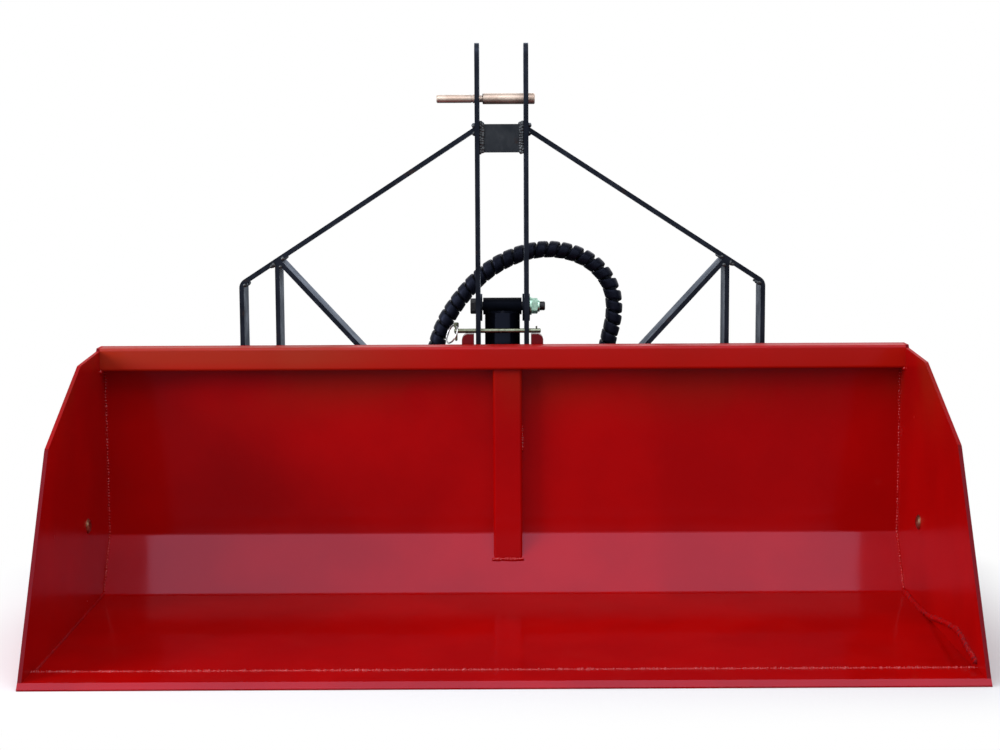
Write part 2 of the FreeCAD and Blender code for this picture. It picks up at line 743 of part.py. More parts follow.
def clevis_plate(doc, q, side, name):
    """The inner plate of a lower clevis, from the sloping bar down beside the beam."""
    outline = [
        (q.clevis_inner * side, q.beam_low), (q.clevis_outer * side, q.beam_low),
        (q.clevis_outer * side, q.bar_under(q.clevis_outer)),
        (q.clevis_inner * side, q.bar_under(q.clevis_inner)),
    ]
    bar = plate(doc, name, "Y", q.bar_front, q.bar_width, outline)
    return cut_through(
        doc, bar, "X", circles=[(q.link_depth, q.link_height, q.link_dia / 2)]
    )


def brace(doc, q, side, name):
    """A flat bar from the clevis plate down to the foot of the upright."""
    angle = heading(q.brace_top - q.brace_foot, q.clevis_inner - q.upright_outer)
    half = q.bar_thick / 2 / cosine(angle)
    # The top corner is cut off along the sloping bar's underside.
    room = q.bar_under(q.upright_outer) - q.brace_foot - half
    meet = q.upright_outer + room / (tangent(angle) + tangent(q.bar_angle))
    outline = [
        (q.upright_outer * side, q.brace_foot - half), (q.clevis_inner * side, q.brace_top - half),
        (q.clevis_inner * side, q.bar_under(q.clevis_inner)), (meet * side, q.bar_under(meet)),
        (q.upright_outer * side, q.brace_foot + half),
    ]
    return plate(doc, name, "Y", q.bar_front, q.bar_width, outline)


def lower_beam(doc, q):
    outer = square(q.frame_back, q.beam_low, q.beam_back, q.beam_high)
    inner = square(q.frame_back, q.beam_low, q.beam_back, q.beam_high, q.beam_wall)
    rounds = [(q.beam_round, outer), (q.beam_round - q.beam_wall, inner)]
    beam = plate(
        doc, "lower_beam", "X", -q.bar_reach, q.bar_reach * 2, outer, cutouts=[inner],
        rounds=rounds,
    )
    cap_outline = square(
        q.frame_back, q.beam_low, q.beam_back, q.beam_high, q.beam_wall / 2
    )
    cap = plate(
        doc, "beam_cap", "X", q.bar_reach, q.cap_thick, cap_outline,
        rounds=[(q.beam_round - q.beam_wall / 2, cap_outline)],
    )
    return [beam, both_sides(doc, "beam_end_caps", cap)]


def hinge_ears(doc, q):
    """Plates under the beam with the bushes that the bucket hinges turn on."""
    half = q.ear_round
    low = q.hinge_height - half
    left, right = q.hinge_depth - half, q.hinge_depth + half
    outline = [(left, q.beam_low), (left, low), (right, low), (right, q.beam_low)]
    ear = plate(
        doc, "hinge_ear", "X", q.hinge_station - q.ear_thick / 2, q.ear_thick, outline,
        [(q.hinge_depth, q.hinge_height, q.bush_dia / 2)],
        rounds=[(half - q.slack, [(left, low), (right, low)])],
    )
    bore = q.hinge_pin_dia / 2 + q.running
    bush = turned(doc, "hinge_bush", [
        (bore, 0), (q.bush_dia / 2, 0), (q.bush_dia / 2, q.bush_width), (bore, q.bush_width),
    ])
    lay_along_x(bush, q.hinge_station - q.bush_width / 2, q.hinge_depth, q.hinge_height)
    return [both_sides(doc, "hinge_ears", ear), both_sides(doc, "hinge_bushes", bush)]


def pivot_discs(doc, q):
    """Round doublers at the cylinder bolt: inside each upright and outside the right one."""
    discs = []
    for name, start, thick in (
        ("left", -q.upright_inner, q.disc_thick),
        ("right", q.upright_inner - q.disc_thick, q.disc_thick),
        ("outer", q.upright_outer, q.outer_disc_thick),
    ):
        disc = turned(doc, f"pivot_disc_{name}", [
            (0, 0), (q.disc_dia / 2, 0), (q.disc_dia / 2, thick), (0, thick),
        ])
        # In the disc's own frame, before it is laid along X, up is towards -X.
        hole = (-q.disc_drop, 0, q.bolt_dia / 2 + q.slack)
        cut_through(doc, disc, "Z", circles=[hole])
        discs.append(lay_along_x(disc, start, q.cylinder_depth, q.bolt_height - q.disc_drop))
    return group(doc, "pivot_discs", discs)


def top_link_pin(doc, q):
    """A pin that pulls out to the left by its thinner end, and the ring on its neck."""
    thick, handle, thin = q.pin_dia / 2, q.pin_handle_dia / 2, q.pin_neck_dia / 2
    bevel = q.pin_chamfer
    handle_end = -(q.upright_outer + q.pin_ring_play + q.pin_ring_thick + q.pin_groove)
    pin = turned(doc, "top_link_pin", [
        (0, -q.pin_left), (handle - bevel, -q.pin_left), (handle, bevel - q.pin_left),
        (handle, handle_end), (thin, handle_end), (thin, -q.pin_shoulder),
        (thick - bevel, -q.pin_shoulder), (thick, bevel - q.pin_shoulder),
        (thick, q.pin_right - bevel), (thick - bevel, q.pin_right), (0, q.pin_right),
    ])
    lay_along_x(pin, 0, q.pin_depth, q.pin_height)
    rim, bore = q.pin_ring_dia / 2, thin
    ring = turned(doc, "top_pin_ring", [
        (bore, 0), (rim, 0), (rim, q.pin_ring_thick), (bore, q.pin_ring_thick),
    ])
    near = q.upright_outer + q.pin_ring_play + q.pin_ring_thick
    lay_along_x(ring, -near, q.pin_depth, q.pin_height)
    return [pin, ring]


def cylinder_bolt(doc, q):
    """The bolt through the cylinder's cross tube, with its head on the left."""
    radius = q.bolt_dia / 2
    shank = turned(doc, "bolt_shank", [
        (0, 0), (radius, 0), (radius, q.bolt_length - 1.5), (radius - 1.5, q.bolt_length),
        (0, q.bolt_length),
    ])
    head = hex_nut(doc, "bolt_head", q.bolt_flats, q.bolt_head, None)
    place(head, axis=(1, 0, 0), angle=180)
    bolt = fuse(doc, "cylinder_bolt", shank, head)
    lay_along_x(bolt, -q.upright_outer, q.cylinder_depth, q.bolt_height)
    rim, bore = q.washer_dia / 2, radius + q.slack
    washer = turned(doc, "cylinder_bolt_washer", [
        (bore, 0), (rim, 0), (rim, q.washer_thick), (bore, q.washer_thick),
    ])
    lay_along_x(washer, q.disc_outer, q.cylinder_depth, q.bolt_height)
    flats = q.nut_tall - q.nut_collar
    nut_body = hex_nut(doc, "nut_body", q.bolt_flats, flats, radius + q.running)
    collar_rim = q.bolt_flats * 0.44
    collar = turned(doc, "nut_collar", [
        (radius + q.running, flats), (collar_rim, flats), (collar_rim, q.nut_tall - 1),
        (collar_rim - 1, q.nut_tall), (radius + q.running, q.nut_tall),
    ])
    nut = fuse(doc, "cylinder_nut", nut_body, collar)
    lay_along_x(nut, q.disc_outer + q.washer_thick, q.cylinder_depth, q.bolt_height)
    return [bolt, washer, nut]


def lock_rod(doc, q):
    """The thin rod through both uprights, with a small stop pin at its right end."""
    radius = q.lock_dia / 2
    rod = turned(doc, "lock_rod", [
        (0, -q.lock_left), (radius - 1, -q.lock_left), (radius, 1 - q.lock_left),
        (radius, q.lock_right - 1), (radius - 1, q.lock_right), (0, q.lock_right),
    ])
    linch_place = q.lock_left - q.linch_reach
    # In the rod's own frame, before it is laid along X, its length is along Z.
    cut_through(
        doc, rod, "X",
        circles=[
            (0, -linch_place, q.linch_dia / 2 + q.running),
            (0, q.lock_right - q.stop_pin_inset, q.stop_pin_dia / 2 + q.running / 2),
        ],
    )
    lay_along_x(rod, 0, q.lock_depth, q.lock_height)
    # The stop pin ends flush under the rod, clear of the lug there.
    stop_top, stop_radius = radius + q.stop_pin_rise, q.stop_pin_dia / 2
    stop = turned(doc, "lock_stop_pin", [
        (0, 1 - radius), (stop_radius, 1 - radius), (stop_radius, stop_top), (0, stop_top),
    ])
    place(stop, q.lock_right - q.stop_pin_inset, q.lock_depth, q.lock_height)
    return [rod, stop]


def linch_pin(doc, q):
    """The spring-ring pin through the rod's left end: its pin and its ring."""
    radius, head = q.linch_dia / 2, q.linch_head_dia / 2
    shoulder = q.lock_dia / 2 + q.linch_reach / 2
    tip = -(q.lock_dia / 2 + q.linch_head_dia * 1.5)
    top = shoulder + q.linch_head_dia
    ring_top = (shoulder + top) / 2
    pin = turned(doc, "linch_pin", [
        (0, tip), (radius - 1, tip), (radius, tip + 2), (radius, shoulder), (head, shoulder + 1),
        (head, top - 1), (head - 1, top), (0, top),
    ])
    # The ring's wire passes through the head along the ring's own tangent.
    doc.recompute()
    hole = cylinder(doc, "linch_hole", q.ring_hole / 2, q.linch_head_dia * 2)
    x = -(q.lock_left - q.linch_reach)
    lean = math.radians(q.ring_lean.value)
    down = FreeCAD.Vector(-math.sin(lean), 0, -math.cos(lean))
    tangent_line = FreeCAD.Rotation(down, -q.ring_turn.value).multVec(FreeCAD.Vector(0, 1, 0))
    along = FreeCAD.Rotation(FreeCAD.Vector(0, 0, 1), tangent_line)
    half = tangent_line * q.linch_head_dia.value
    hole.Placement = FreeCAD.Placement(
        FreeCAD.Vector(-half.x, -half.y, ring_top.value - half.z), along
    )
    drilled = cut(doc, "linch_pin_drilled", pin, hole)
    drilled.Label = "linch_pin_body"
    place(drilled, x, q.lock_depth, q.lock_height)
    ring = doc.addObject("Part::Torus", "linch_ring")
    ring.Label = "linch_ring"
    for field, value in (("Radius1", q.ring_radius), ("Radius2", q.ring_wire / 2)):
        setattr(ring, field, value.value)
        ring.setExpression(field, value.text)
    centre = FreeCAD.Vector(x.value, q.lock_depth.value, q.lock_height.value + ring_top.value)
    centre = centre + down * q.ring_radius.value
    normal = down.cross(tangent_line)
    ring.Placement = FreeCAD.Placement(centre, FreeCAD.Rotation(FreeCAD.Vector(0, 0, 1), normal))
    return [drilled, ring]


# Cylinder, built about its own bolt axis with its rod towards its own -Z


def on_cylinder(q, piece):
    """Leans a piece with the cylinder and hangs it on the cylinder's bolt axis."""
    return place(piece, 0, q.cylinder_depth, q.bolt_height, angle=-q.cylinder_lean)


def cylinder_barrel(doc, q):
    """The tube with its closed base, saddled under the cross tube."""
    outer, bore, bevel = q.barrel_radius, q.barrel_bore / 2, q.barrel_chamfer
    base = -(q.barrel_top + q.base_thick)
    barrel = turned(doc, "cylinder_barrel", [
        (0, -q.barrel_top), (outer - bevel, -q.barrel_top), (outer, -q.barrel_top - bevel),
        (outer, -q.barrel_end), (bore, -q.barrel_end), (bore, base), (0, base),
    ])
    cut_through(doc, barrel, "X", circles=[(0, 0, q.cross_dia / 2)])
    sketch = new_sketch(barrel, "Y", "port_hole")
    draw_circle(sketch, 0, -q.port_drop, q.port_hole / 2)
    pocket = barrel.newObject("PartDesign::Pocket", "port_pocket")
    pocket.Profile = sketch
    pocket.Type = "ThroughAll"
    pocket.Reversed = False
    barrel.Tip = pocket
    on_cylinder(q, barrel)
    bolt_bore = q.bolt_dia / 2 + q.running
    cross = turned(doc, "cylinder_cross_tube", [
        (bolt_bore, 0), (q.cross_dia / 2, 0), (q.cross_dia / 2, q.cross_width),
        (bolt_bore, q.cross_width),
    ])
    lay_along_x(cross, -q.cross_width / 2, q.cylinder_depth, q.bolt_height)
    return [barrel, cross]


def cylinder_gland(doc, q):
    """The gland in the barrel's mouth and the wiper ring in the gland."""
    bore, fit = q.rod_dia / 2 + q.running, q.barrel_bore / 2 - q.running
    flange_end = q.barrel_end + q.gland_flange
    seat, rim = flange_end - q.wiper_deep, q.wiper_dia / 2
    gland = turned(doc, "cylinder_gland", [
        (bore, q.gland_insert - q.barrel_end), (fit, q.gland_insert - q.barrel_end),
        (fit, -q.barrel_end), (q.barrel_radius, -q.barrel_end),
        (q.barrel_radius, 2 - flange_end), (q.barrel_radius - 2, -flange_end),
        (rim, -flange_end), (rim, -seat), (bore, -seat),
    ])
    wiper = turned(doc, "rod_wiper", [
        (bore, -seat), (rim - q.running, -seat), (rim - q.running, -flange_end),
        (bore + 1, -flange_end - 1.5), (bore, -flange_end - 1.5),
    ])
    return [on_cylinder(q, gland), on_cylinder(q, wiper)]


def piston_and_rod(doc, q):
    """The rod with its piston, seal and nut inside the barrel, and its slotted eye."""
    spigot, rod = q.spigot_dia / 2, q.rod_dia / 2
    crown = -q.piston_start
    skirt = crown - q.piston_length
    eye_top = q.eye_half_tall - q.cylinder_length
    nut_top = crown + q.piston_nut_tall
    shaft = turned(doc, "piston_rod", [
        (0, nut_top + 1), (spigot - 1, nut_top + 1), (spigot, nut_top), (spigot, skirt),
        (rod, skirt), (rod, eye_top), (0, eye_top),
    ])
    rim = q.barrel_bore / 2 - q.running
    groove_high = (crown + skirt) / 2 + q.piston_seal_wide / 2
    groove_low = groove_high - q.piston_seal_wide
    groove = rim - q.piston_seal_deep
    hub = spigot + q.running
    piston = turned(doc, "piston", [
        (hub, crown), (rim, crown), (rim, groove_high), (groove, groove_high),
        (groove, groove_low), (rim, groove_low), (rim, skirt), (hub, skirt),
    ])
    seal = turned(doc, "piston_seal", [
        (groove + q.running, groove_high - q.running), (rim, groove_high - q.running),
        (rim, groove_low + q.running), (groove + q.running, groove_low + q.running),
    ])
    nut = hex_nut(doc, "piston_nut", q.piston_nut_flats, q.piston_nut_tall, spigot + q.running)
    half = q.eye_half_tall
    slot = q.hinge_pin_dia / 2 + q.eye_slack
    reach = q.arc_bow / 2 + slot
    low, high = -q.cylinder_length - half, eye_top
    wide = reach + q.eye_margin
    slot_outline = square(
        -reach, -q.cylinder_length - slot, reach, -q.cylinder_length + slot
    )
    eye = plate(
        doc, "rod_eye", "X", -q.eye_thick / 2, q.eye_thick, square(-wide, low, wide, high),
        cutouts=[slot_outline],
        rounds=[
            (q.eye_top_round, [(-wide, high), (wide, high)]),
            (q.eye_low_round, [(-wide, low), (wide, low)]),
            (slot - q.running, slot_outline),
        ],
    )
    for piece in (shaft, piston, seal, eye):
        on_cylinder(q, piece)
    lean = -q.cylinder_lean
    drop = q.piston_start
    place(
        nut, 0, q.cylinder_depth + drop * sine(lean), q.bolt_height - drop * cosine(lean),
        angle=lean,
    )
    return [shaft, piston, seal, nut, eye]


def port_fittings(doc, q):
    """The port boss on the barrel's back, the elbow in it and the hose's ferrule."""
    outer = q.port_dia / 2
    face = q.barrel_radius + q.port_reach
    boss_blank = cylinder(doc, "port_blank", outer, face)
    place(boss_blank, z=-q.port_drop, axis=(1, 0, 0), angle=-90)
    barrel_room = cylinder(doc, "port_saddle", q.barrel_radius, q.barrel_end)
    place(barrel_room, z=-q.barrel_end)
    boss = cut(doc, "port_boss", boss_blank, barrel_room)
    nut = hexagon(doc, "elbow_nut", q.fitting_flats, q.fitting_long)
    place(nut, y=face, z=-q.port_drop, axis=(1, 0, 0), angle=-90)
    bend_start = face + q.fitting_long
    tube = q.elbow_dia / 2
    bend = doc.addObject("PartDesign::Body", "elbow_bend")
    sketch = new_sketch(bend, "Y", "elbow_section", bend_start)
    draw_circle(sketch, 0, -q.port_drop, tube)
    turn = bend.newObject("PartDesign::Revolution", "elbow_turn")
    turn.Profile = sketch
    centre = -q.port_drop - q.elbow_bend
    axis_sketch = new_sketch(bend, "Y", "elbow_axis", bend_start)
    line = Part.LineSegment(
        FreeCAD.Vector(-1, centre.value, 0), FreeCAD.Vector(1, centre.value, 0)
    )
    axis_sketch.addGeometry(line, False)
    dimension(axis_sketch, "DistanceY", 0, 1, centre)
    dimension(axis_sketch, "DistanceY", 0, 2, centre)
    dimension(axis_sketch, "DistanceX", 0, 1, size(-1))
    dimension(axis_sketch, "DistanceX", 0, 2, size(1))
    turn.ReferenceAxis = (axis_sketch, ["Edge1"])
    turn.Angle = 90
    turn.Reversed = True
    bend.Tip = turn
    elbow = fuse(doc, "port_elbow", nut, bend)
    rim = q.ferrule_dia / 2
    start = centre
    ferrule = turned(doc, "hose_ferrule", [
        (0, start), (rim - 2, start), (rim, start - 2), (rim, start - q.ferrule_long + 2),
        (rim - 1, start - q.ferrule_long), (0, start - q.ferrule_long),
    ])
    on_cylinder(q, boss)
    on_cylinder(q, elbow)
    lean = -q.cylinder_lean
    reach = bend_start + q.elbow_bend
    place(
        ferrule, 0, q.cylinder_depth + reach * cosine(lean), q.bolt_height + reach * sine(lean),
        angle=lean,
    )
    return [boss, elbow, ferrule]


# Hose


def route_wire(route):
    """Straight runs joined by tangent arcs, each arc as large as its runs allow."""
    edges = []
    radii = []
    start = route[0]
    for before, corner, after in zip(route, route[1:], route[2:]):
        run_in, run_out = corner - before, after - corner
        turn = run_in.getAngle(run_out)
        reach = 0.45 * min(run_in.Length, run_out.Length)
        radius = reach / math.tan(turn / 2)
        to_corner = FreeCAD.Vector(run_in).normalize()
        from_corner = FreeCAD.Vector(run_out).normalize()
        first, last = corner - to_corner * reach, corner + from_corner * reach
        inward = FreeCAD.Vector(from_corner - to_corner).normalize()
        middle = corner + inward * (radius / math.cos(turn / 2) - radius)
        edges.append(Part.LineSegment(start, first).toShape())
        edges.append(Part.Arc(first, middle, last).toShape())
        radii.append(radius)
        start = last
    edges.append(Part.LineSegment(start, route[-1]).toShape())
    return Part.Wire(edges), radii


def ferrule_mouth(q):
    """Where the hose leaves its ferrule on the cylinder, and which way."""
    along = q.barrel_radius + q.port_reach + q.fitting_long + q.elbow_bend
    down = q.port_drop + q.elbow_bend + q.ferrule_long
    lean = FreeCAD.Rotation(FreeCAD.Vector(1, 0, 0), -q.cylinder_lean.value)
    mouth = lean.multVec(FreeCAD.Vector(0, along.value, -down.value))
    hub = FreeCAD.Vector(0, q.cylinder_depth.value, q.bolt_height.value)
    return hub + mouth, lean.multVec(FreeCAD.Vector(0, 0, -1))


def hose_and_coupler(doc, q):
    """The free hose, and the coupler with its dust cap on the hose's far end."""
    start, heading_out = ferrule_mouth(q)
    route = [start, start + heading_out * q.hose_lead.value]
    route += [FreeCAD.Vector(*point) for point in HOSE_ROUTE]
    for point in route:
        print("hose point", [round(v, 2) for v in point])
    wire, radii = route_wire(route)
    section = Part.Wire([Part.Circle(start, heading_out, q.hose_dia.value / 2).toShape()])
    tube = Part.Wire(wire).makePipeShell([section], True, False)
    expected = math.pi * (q.hose_dia.value / 2) ** 2 * wire.Length
    print("hose length", round(wire.Length, 1), "volume ratio", round(tube.Volume / expected, 4))
    print("hose radii", [round(r) for r in radii], "least", round(min(radii), 1))
    hose = doc.addObject("Part::Feature", "hydraulic_hose")
    hose.Label = "hydraulic_hose"
    hose.Shape = tube
    end = route[-1]
    way = (end - route[-2]).normalize()
    turn = FreeCAD.Rotation(FreeCAD.Vector(0, 0, 1), way)
    rim, neck = q.ferrule_dia / 2, q.hose_dia / 2
    ferrule = turned(doc, "coupler_ferrule", [
        (0, 0), (rim - 1, 0), (rim, 1), (rim, q.ferrule_long - 2), (rim - 2, q.ferrule_long),
        (0, q.ferrule_long),
    ])
    body = q.coupler_dia / 2
    stem = q.coupler_long / 3
    coupler = turned(doc, "hose_coupler", [
        (0, 0), (body, 0), (body, stem), (neck, stem), (neck, q.coupler_long),
        (0, q.coupler_long),
    ])
    cover, deep = q.cap_dia / 2, q.coupler_long - stem - 2
    cap = turned(doc, "coupler_cap", [
        (0, 0), (cover, 0), (cover, -q.cap_long), (neck + q.slack, -q.cap_long),
        (neck + q.slack, deep - q.cap_long), (0, deep - q.cap_long),
    ])
    ferrule.Placement = FreeCAD.Placement(end, turn)
    coupler.Placement = FreeCAD.Placement(end + way * q.ferrule_long.value, turn)
    cap_end = q.ferrule_long.value + stem.value + 2 + q.cap_long.value
    cap.Placement = FreeCAD.Placement(end + way * cap_end, turn)
    return [hose, ferrule, coupler, cap]


def check(doc, pieces):
    """Stops the script if any object failed or any piece has no sound shape."""
    for item in doc.Objects:
        if "Invalid" in item.State or "Error" in item.State:
            raise ValueError(f"{item.Label} failed: {item.State}")
    for piece in pieces:
        if piece.Shape.isNull() or not piece.Shape.isValid() or not piece.Shape.Solids:
            raise ValueError(f"{piece.Label} has no sound solid")


def report_places(q):
    """Prints the places that the record repeats."""
    for name in (
        "hinge_depth", "rod_pin_depth", "rod_pin_height", "cylinder_depth", "cylinder_lean",
        "cylinder_length", "arc_bow", "pin_depth", "link_depth", "clevis_outer", "clevis_inner",
        "lock_depth", "frame_front", "frame_back", "heel_depth", "heel_height",
    ):
        print(name, round(getattr(q, name).value, 3))


def main():
    doc = FreeCAD.newDocument("tipping_bucket")
    q = Sizes(doc)
    pieces = [folded_sheet(doc, q), cutting_edge(doc, q), top_rail(doc, q), centre_rib(doc, q)]
    pieces += [rod_lugs(doc, q), cross_plate(doc, q), pivot_discs(doc, q)]
    for side, word in ((-1, "left"), (1, "right")):
        pieces += [
            side_plate(doc, q, side, f"side_plate_{word}"),
            hinge_lugs(doc, q, side, f"hinge_lugs_{word}"),
            lock_lug(doc, q, side, f"lock_lug_{word}"),
            upright(doc, q, side, f"upright_{word}"),
            bent_bar(doc, q, side, f"a_bar_{word}"),
            clevis_plate(doc, q, side, f"clevis_plate_{word}"),
            brace(doc, q, side, f"brace_{word}"),
        ]
    for build in (
        hinge_pins, rod_pin, side_bolts, lower_beam, hinge_ears, top_link_pin, cylinder_bolt,
        lock_rod, linch_pin, cylinder_barrel, cylinder_gland, piston_and_rod, port_fittings,
        hose_and_coupler,
    ):
        pieces += build(doc, q)
    doc.recompute()
    check(doc, pieces)
    os.makedirs("parts", exist_ok=True)
    for piece in pieces:
        piece.Shape.exportStep(f"parts/{piece.Label}.step")
    report_places(q)
    print(len(pieces), "pieces")


main()
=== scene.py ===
"""Finishes, welds, hose guard, light and camera for the tipping bucket."""

import bisect
import logging
import math
from dataclasses import dataclass, field
from enum import Enum
from typing import Iterable, Optional, Sequence, Union

import bmesh
import bpy
from mathutils import Matrix, Quaternion, Vector

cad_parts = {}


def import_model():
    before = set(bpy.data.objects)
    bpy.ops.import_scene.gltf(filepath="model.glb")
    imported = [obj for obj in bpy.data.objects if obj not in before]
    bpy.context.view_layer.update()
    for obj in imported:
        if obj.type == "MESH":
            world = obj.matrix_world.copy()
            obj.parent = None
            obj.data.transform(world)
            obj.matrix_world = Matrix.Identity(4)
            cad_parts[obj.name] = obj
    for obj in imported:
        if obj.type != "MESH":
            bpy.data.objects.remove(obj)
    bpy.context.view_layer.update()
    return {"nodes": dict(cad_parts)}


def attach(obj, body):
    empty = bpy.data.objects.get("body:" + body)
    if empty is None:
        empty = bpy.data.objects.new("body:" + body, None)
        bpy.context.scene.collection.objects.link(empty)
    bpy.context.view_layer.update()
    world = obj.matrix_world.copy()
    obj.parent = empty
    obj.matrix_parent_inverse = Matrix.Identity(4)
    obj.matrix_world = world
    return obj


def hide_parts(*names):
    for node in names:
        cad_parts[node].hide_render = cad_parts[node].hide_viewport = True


LOG = logging.getLogger("tipping_bucket")

Colour = tuple[float, float, float]
Point = tuple[float, float, float]
Number = Union[int, float]


# Shader maths


class Signal:
    """A number that changes over a surface, on which Python's operators add Math nodes."""

    def __init__(self, bench: "MaterialBench", socket: bpy.types.NodeSocket) -> None:
        """Wraps an output socket.

        Args:
            bench: The material that the socket belongs to.
            socket: The output that holds the number.
        """
        self.bench = bench
        self.socket = socket

    def maths(self, operation: str, *others: Union["Signal", Number]) -> "Signal":
        """Adds a Math node with this signal first.

        Args:
            operation: The Math node's operation.
            others: The other values of the operation, in order.

        Returns:
            The node's result.
        """
        return self.bench.maths(operation, self, *others)

    def __add__(self, other: Union["Signal", Number]) -> "Signal":
        """The sum."""
        return self.maths("ADD", other)

    def __radd__(self, other: Number) -> "Signal":
        """The sum, with a plain number first."""
        return self.maths("ADD", other)

    def __sub__(self, other: Union["Signal", Number]) -> "Signal":
        """The difference."""
        return self.maths("SUBTRACT", other)

    def __rsub__(self, other: Number) -> "Signal":
        """A plain number less this signal."""
        return self.bench.maths("SUBTRACT", other, self)

    def __mul__(self, other: Union["Signal", Number]) -> "Signal":
        """The product."""
        return self.maths("MULTIPLY", other)

    def __rmul__(self, other: Number) -> "Signal":
        """The product, with a plain number first."""
        return self.maths("MULTIPLY", other)

    def between(self, low: float, high: float) -> "Signal":
        """A smooth step from 0 at low to 1 at high.

        Args:
            low: The value up to which the step gives 0.
            high: The value from which the step gives 1.

        Returns:
            The step.
        """
        node = self.bench.node(
            "ShaderNodeMapRange",
            {"interpolation_type": "SMOOTHSTEP"},
            {"Value": self, "From Min": low, "From Max": high},
        )
        return Signal(self.bench, node.outputs["Result"])


class MaterialBench:
    """Builds one node material around a Principled shader."""

    def __init__(self, name: str) -> None:
        """Starts an empty material with its shader and output.

        Args:
            name: The material's name.
        """
        self.material = bpy.data.materials.new(name)
        self.material.use_nodes = True
        self.tree = self.material.node_tree
        self.tree.nodes.clear()
        self.shader = self.node("ShaderNodeBsdfPrincipled")
        self.node("ShaderNodeOutputMaterial", values={"Surface": self.shader.outputs[0]})
        self.place = self.node("ShaderNodeTexCoord").outputs["Object"]

    def node(
        self,
        kind: str,
        settings: Optional[dict[str, object]] = None,
        values: Optional[dict[object, object]] = None,
    ) -> bpy.types.Node:
        """Adds a node, with its settings first and then its sockets.

        Args:
            kind: The node's type.
            settings: The node's own settings.
            values: A value, socket or signal for each named or numbered input.

        Returns:
            The node.
        """
        node = self.tree.nodes.new(kind)
        for name, value in (settings or {}).items():
            setattr(node, name, value)
        for name, value in (values or {}).items():
            if isinstance(value, Signal):
                value = value.socket
            if isinstance(value, bpy.types.NodeSocket):
                self.tree.links.new(value, node.inputs[name])
            else:
                node.inputs[name].default_value = value
        return node

    def maths(self, operation: str, *values: Union[Signal, Number]) -> Signal:
        """Adds a Math node.

        Args:
            operation: The node's operation.
            values: Its inputs, in order.

        Returns:
            Its result.
        """
        node = self.node("ShaderNodeMath", {"operation": operation}, dict(enumerate(values)))
        return Signal(self, node.outputs[0])

    def noise(
        self, size: float, detail: float = 3.0, stretch: Point = (1, 1, 1), shift: float = 0.0
    ) -> Signal:
        """Noise with blotches of about a size in metres.

        Args:
            size: The blotches' size.
            detail: How many finer layers it has.
            stretch: How many times finer it is along each axis.
            shift: Moves the pattern, so that two of them differ.

        Returns:
            The noise, from 0 to 1.
        """
        turn = self.node(
            "ShaderNodeMapping",
            values={"Vector": self.place, "Location": (shift, shift, shift), "Scale": stretch},
        )
        node = self.node(
            "ShaderNodeTexNoise",
            values={"Vector": turn.outputs[0], "Scale": 1.0 / size, "Detail": detail},
        )
        return Signal(self, node.outputs["Fac"])

    def facing(self, axis: str) -> Signal:
        """How far the surface faces along an axis, from -1 to 1.

        Args:
            axis: X, Y or Z.

        Returns:
            The normal's share of that axis.
        """
        normal = self.node("ShaderNodeNewGeometry").outputs["Normal"]
        split = self.node("ShaderNodeSeparateXYZ", values={"Vector": normal})
        return Signal(self, split.outputs[axis])

    def axis_place(self, axis: str) -> Signal:
        """The place along one axis in metres.

        Args:
            axis: X, Y or Z.

        Returns:
            The place.
        """
        split = self.node("ShaderNodeSeparateXYZ", values={"Vector": self.place})
        return Signal(self, split.outputs[axis])

    def blend(
        self, mask: Signal, low: Union[Colour, bpy.types.NodeSocket],
        high: Union[Colour, bpy.types.NodeSocket],
    ) -> bpy.types.NodeSocket:
        """Mixes two colours.

        Args:
            mask: 0 for the first colour and 1 for the second.
            low: The first colour.
            high: The second colour.

        Returns:
            The mixed colour's socket.
        """
        values: dict[object, object] = {0: mask}
        for index, colour in ((6, low), (7, high)):
            values[index] = colour if isinstance(colour, bpy.types.NodeSocket) else (*colour, 1.0)
        node = self.node("ShaderNodeMix", {"data_type": "RGBA"}, values)
        return node.outputs[2]

    def bumps(self, *layers: tuple[Signal, float]) -> None:
        """Raises the surface by the sum of height layers.

        Args:
            layers: Pairs of a height from 0 to 1 and its depth in metres.
        """
        height: Union[Signal, float] = 0.0
        for signal, depth in layers:
            height = signal * (depth * 1000.0) + height
        node = self.node("ShaderNodeBump", values={"Height": height, "Distance": 0.001})
        self.tree.links.new(node.outputs[0], self.shader.inputs["Normal"])

    def surface(self, **values: object) -> bpy.types.Material:
        """Sets the shader's sockets, named with underscores for spaces.

        Args:
            values: A value, socket or signal for each socket.

        Returns:
            The finished material.
        """
        for name, value in values.items():
            socket = self.shader.inputs[name.replace("_", " ").title().replace("Ior", "IOR")]
            if isinstance(value, Signal):
                value = value.socket
            if isinstance(value, bpy.types.NodeSocket):
                self.tree.links.new(value, socket)
            elif isinstance(value, tuple):
                socket.default_value = (*value, 1.0)
            else:
                socket.default_value = value
        return self.material


# Finishes


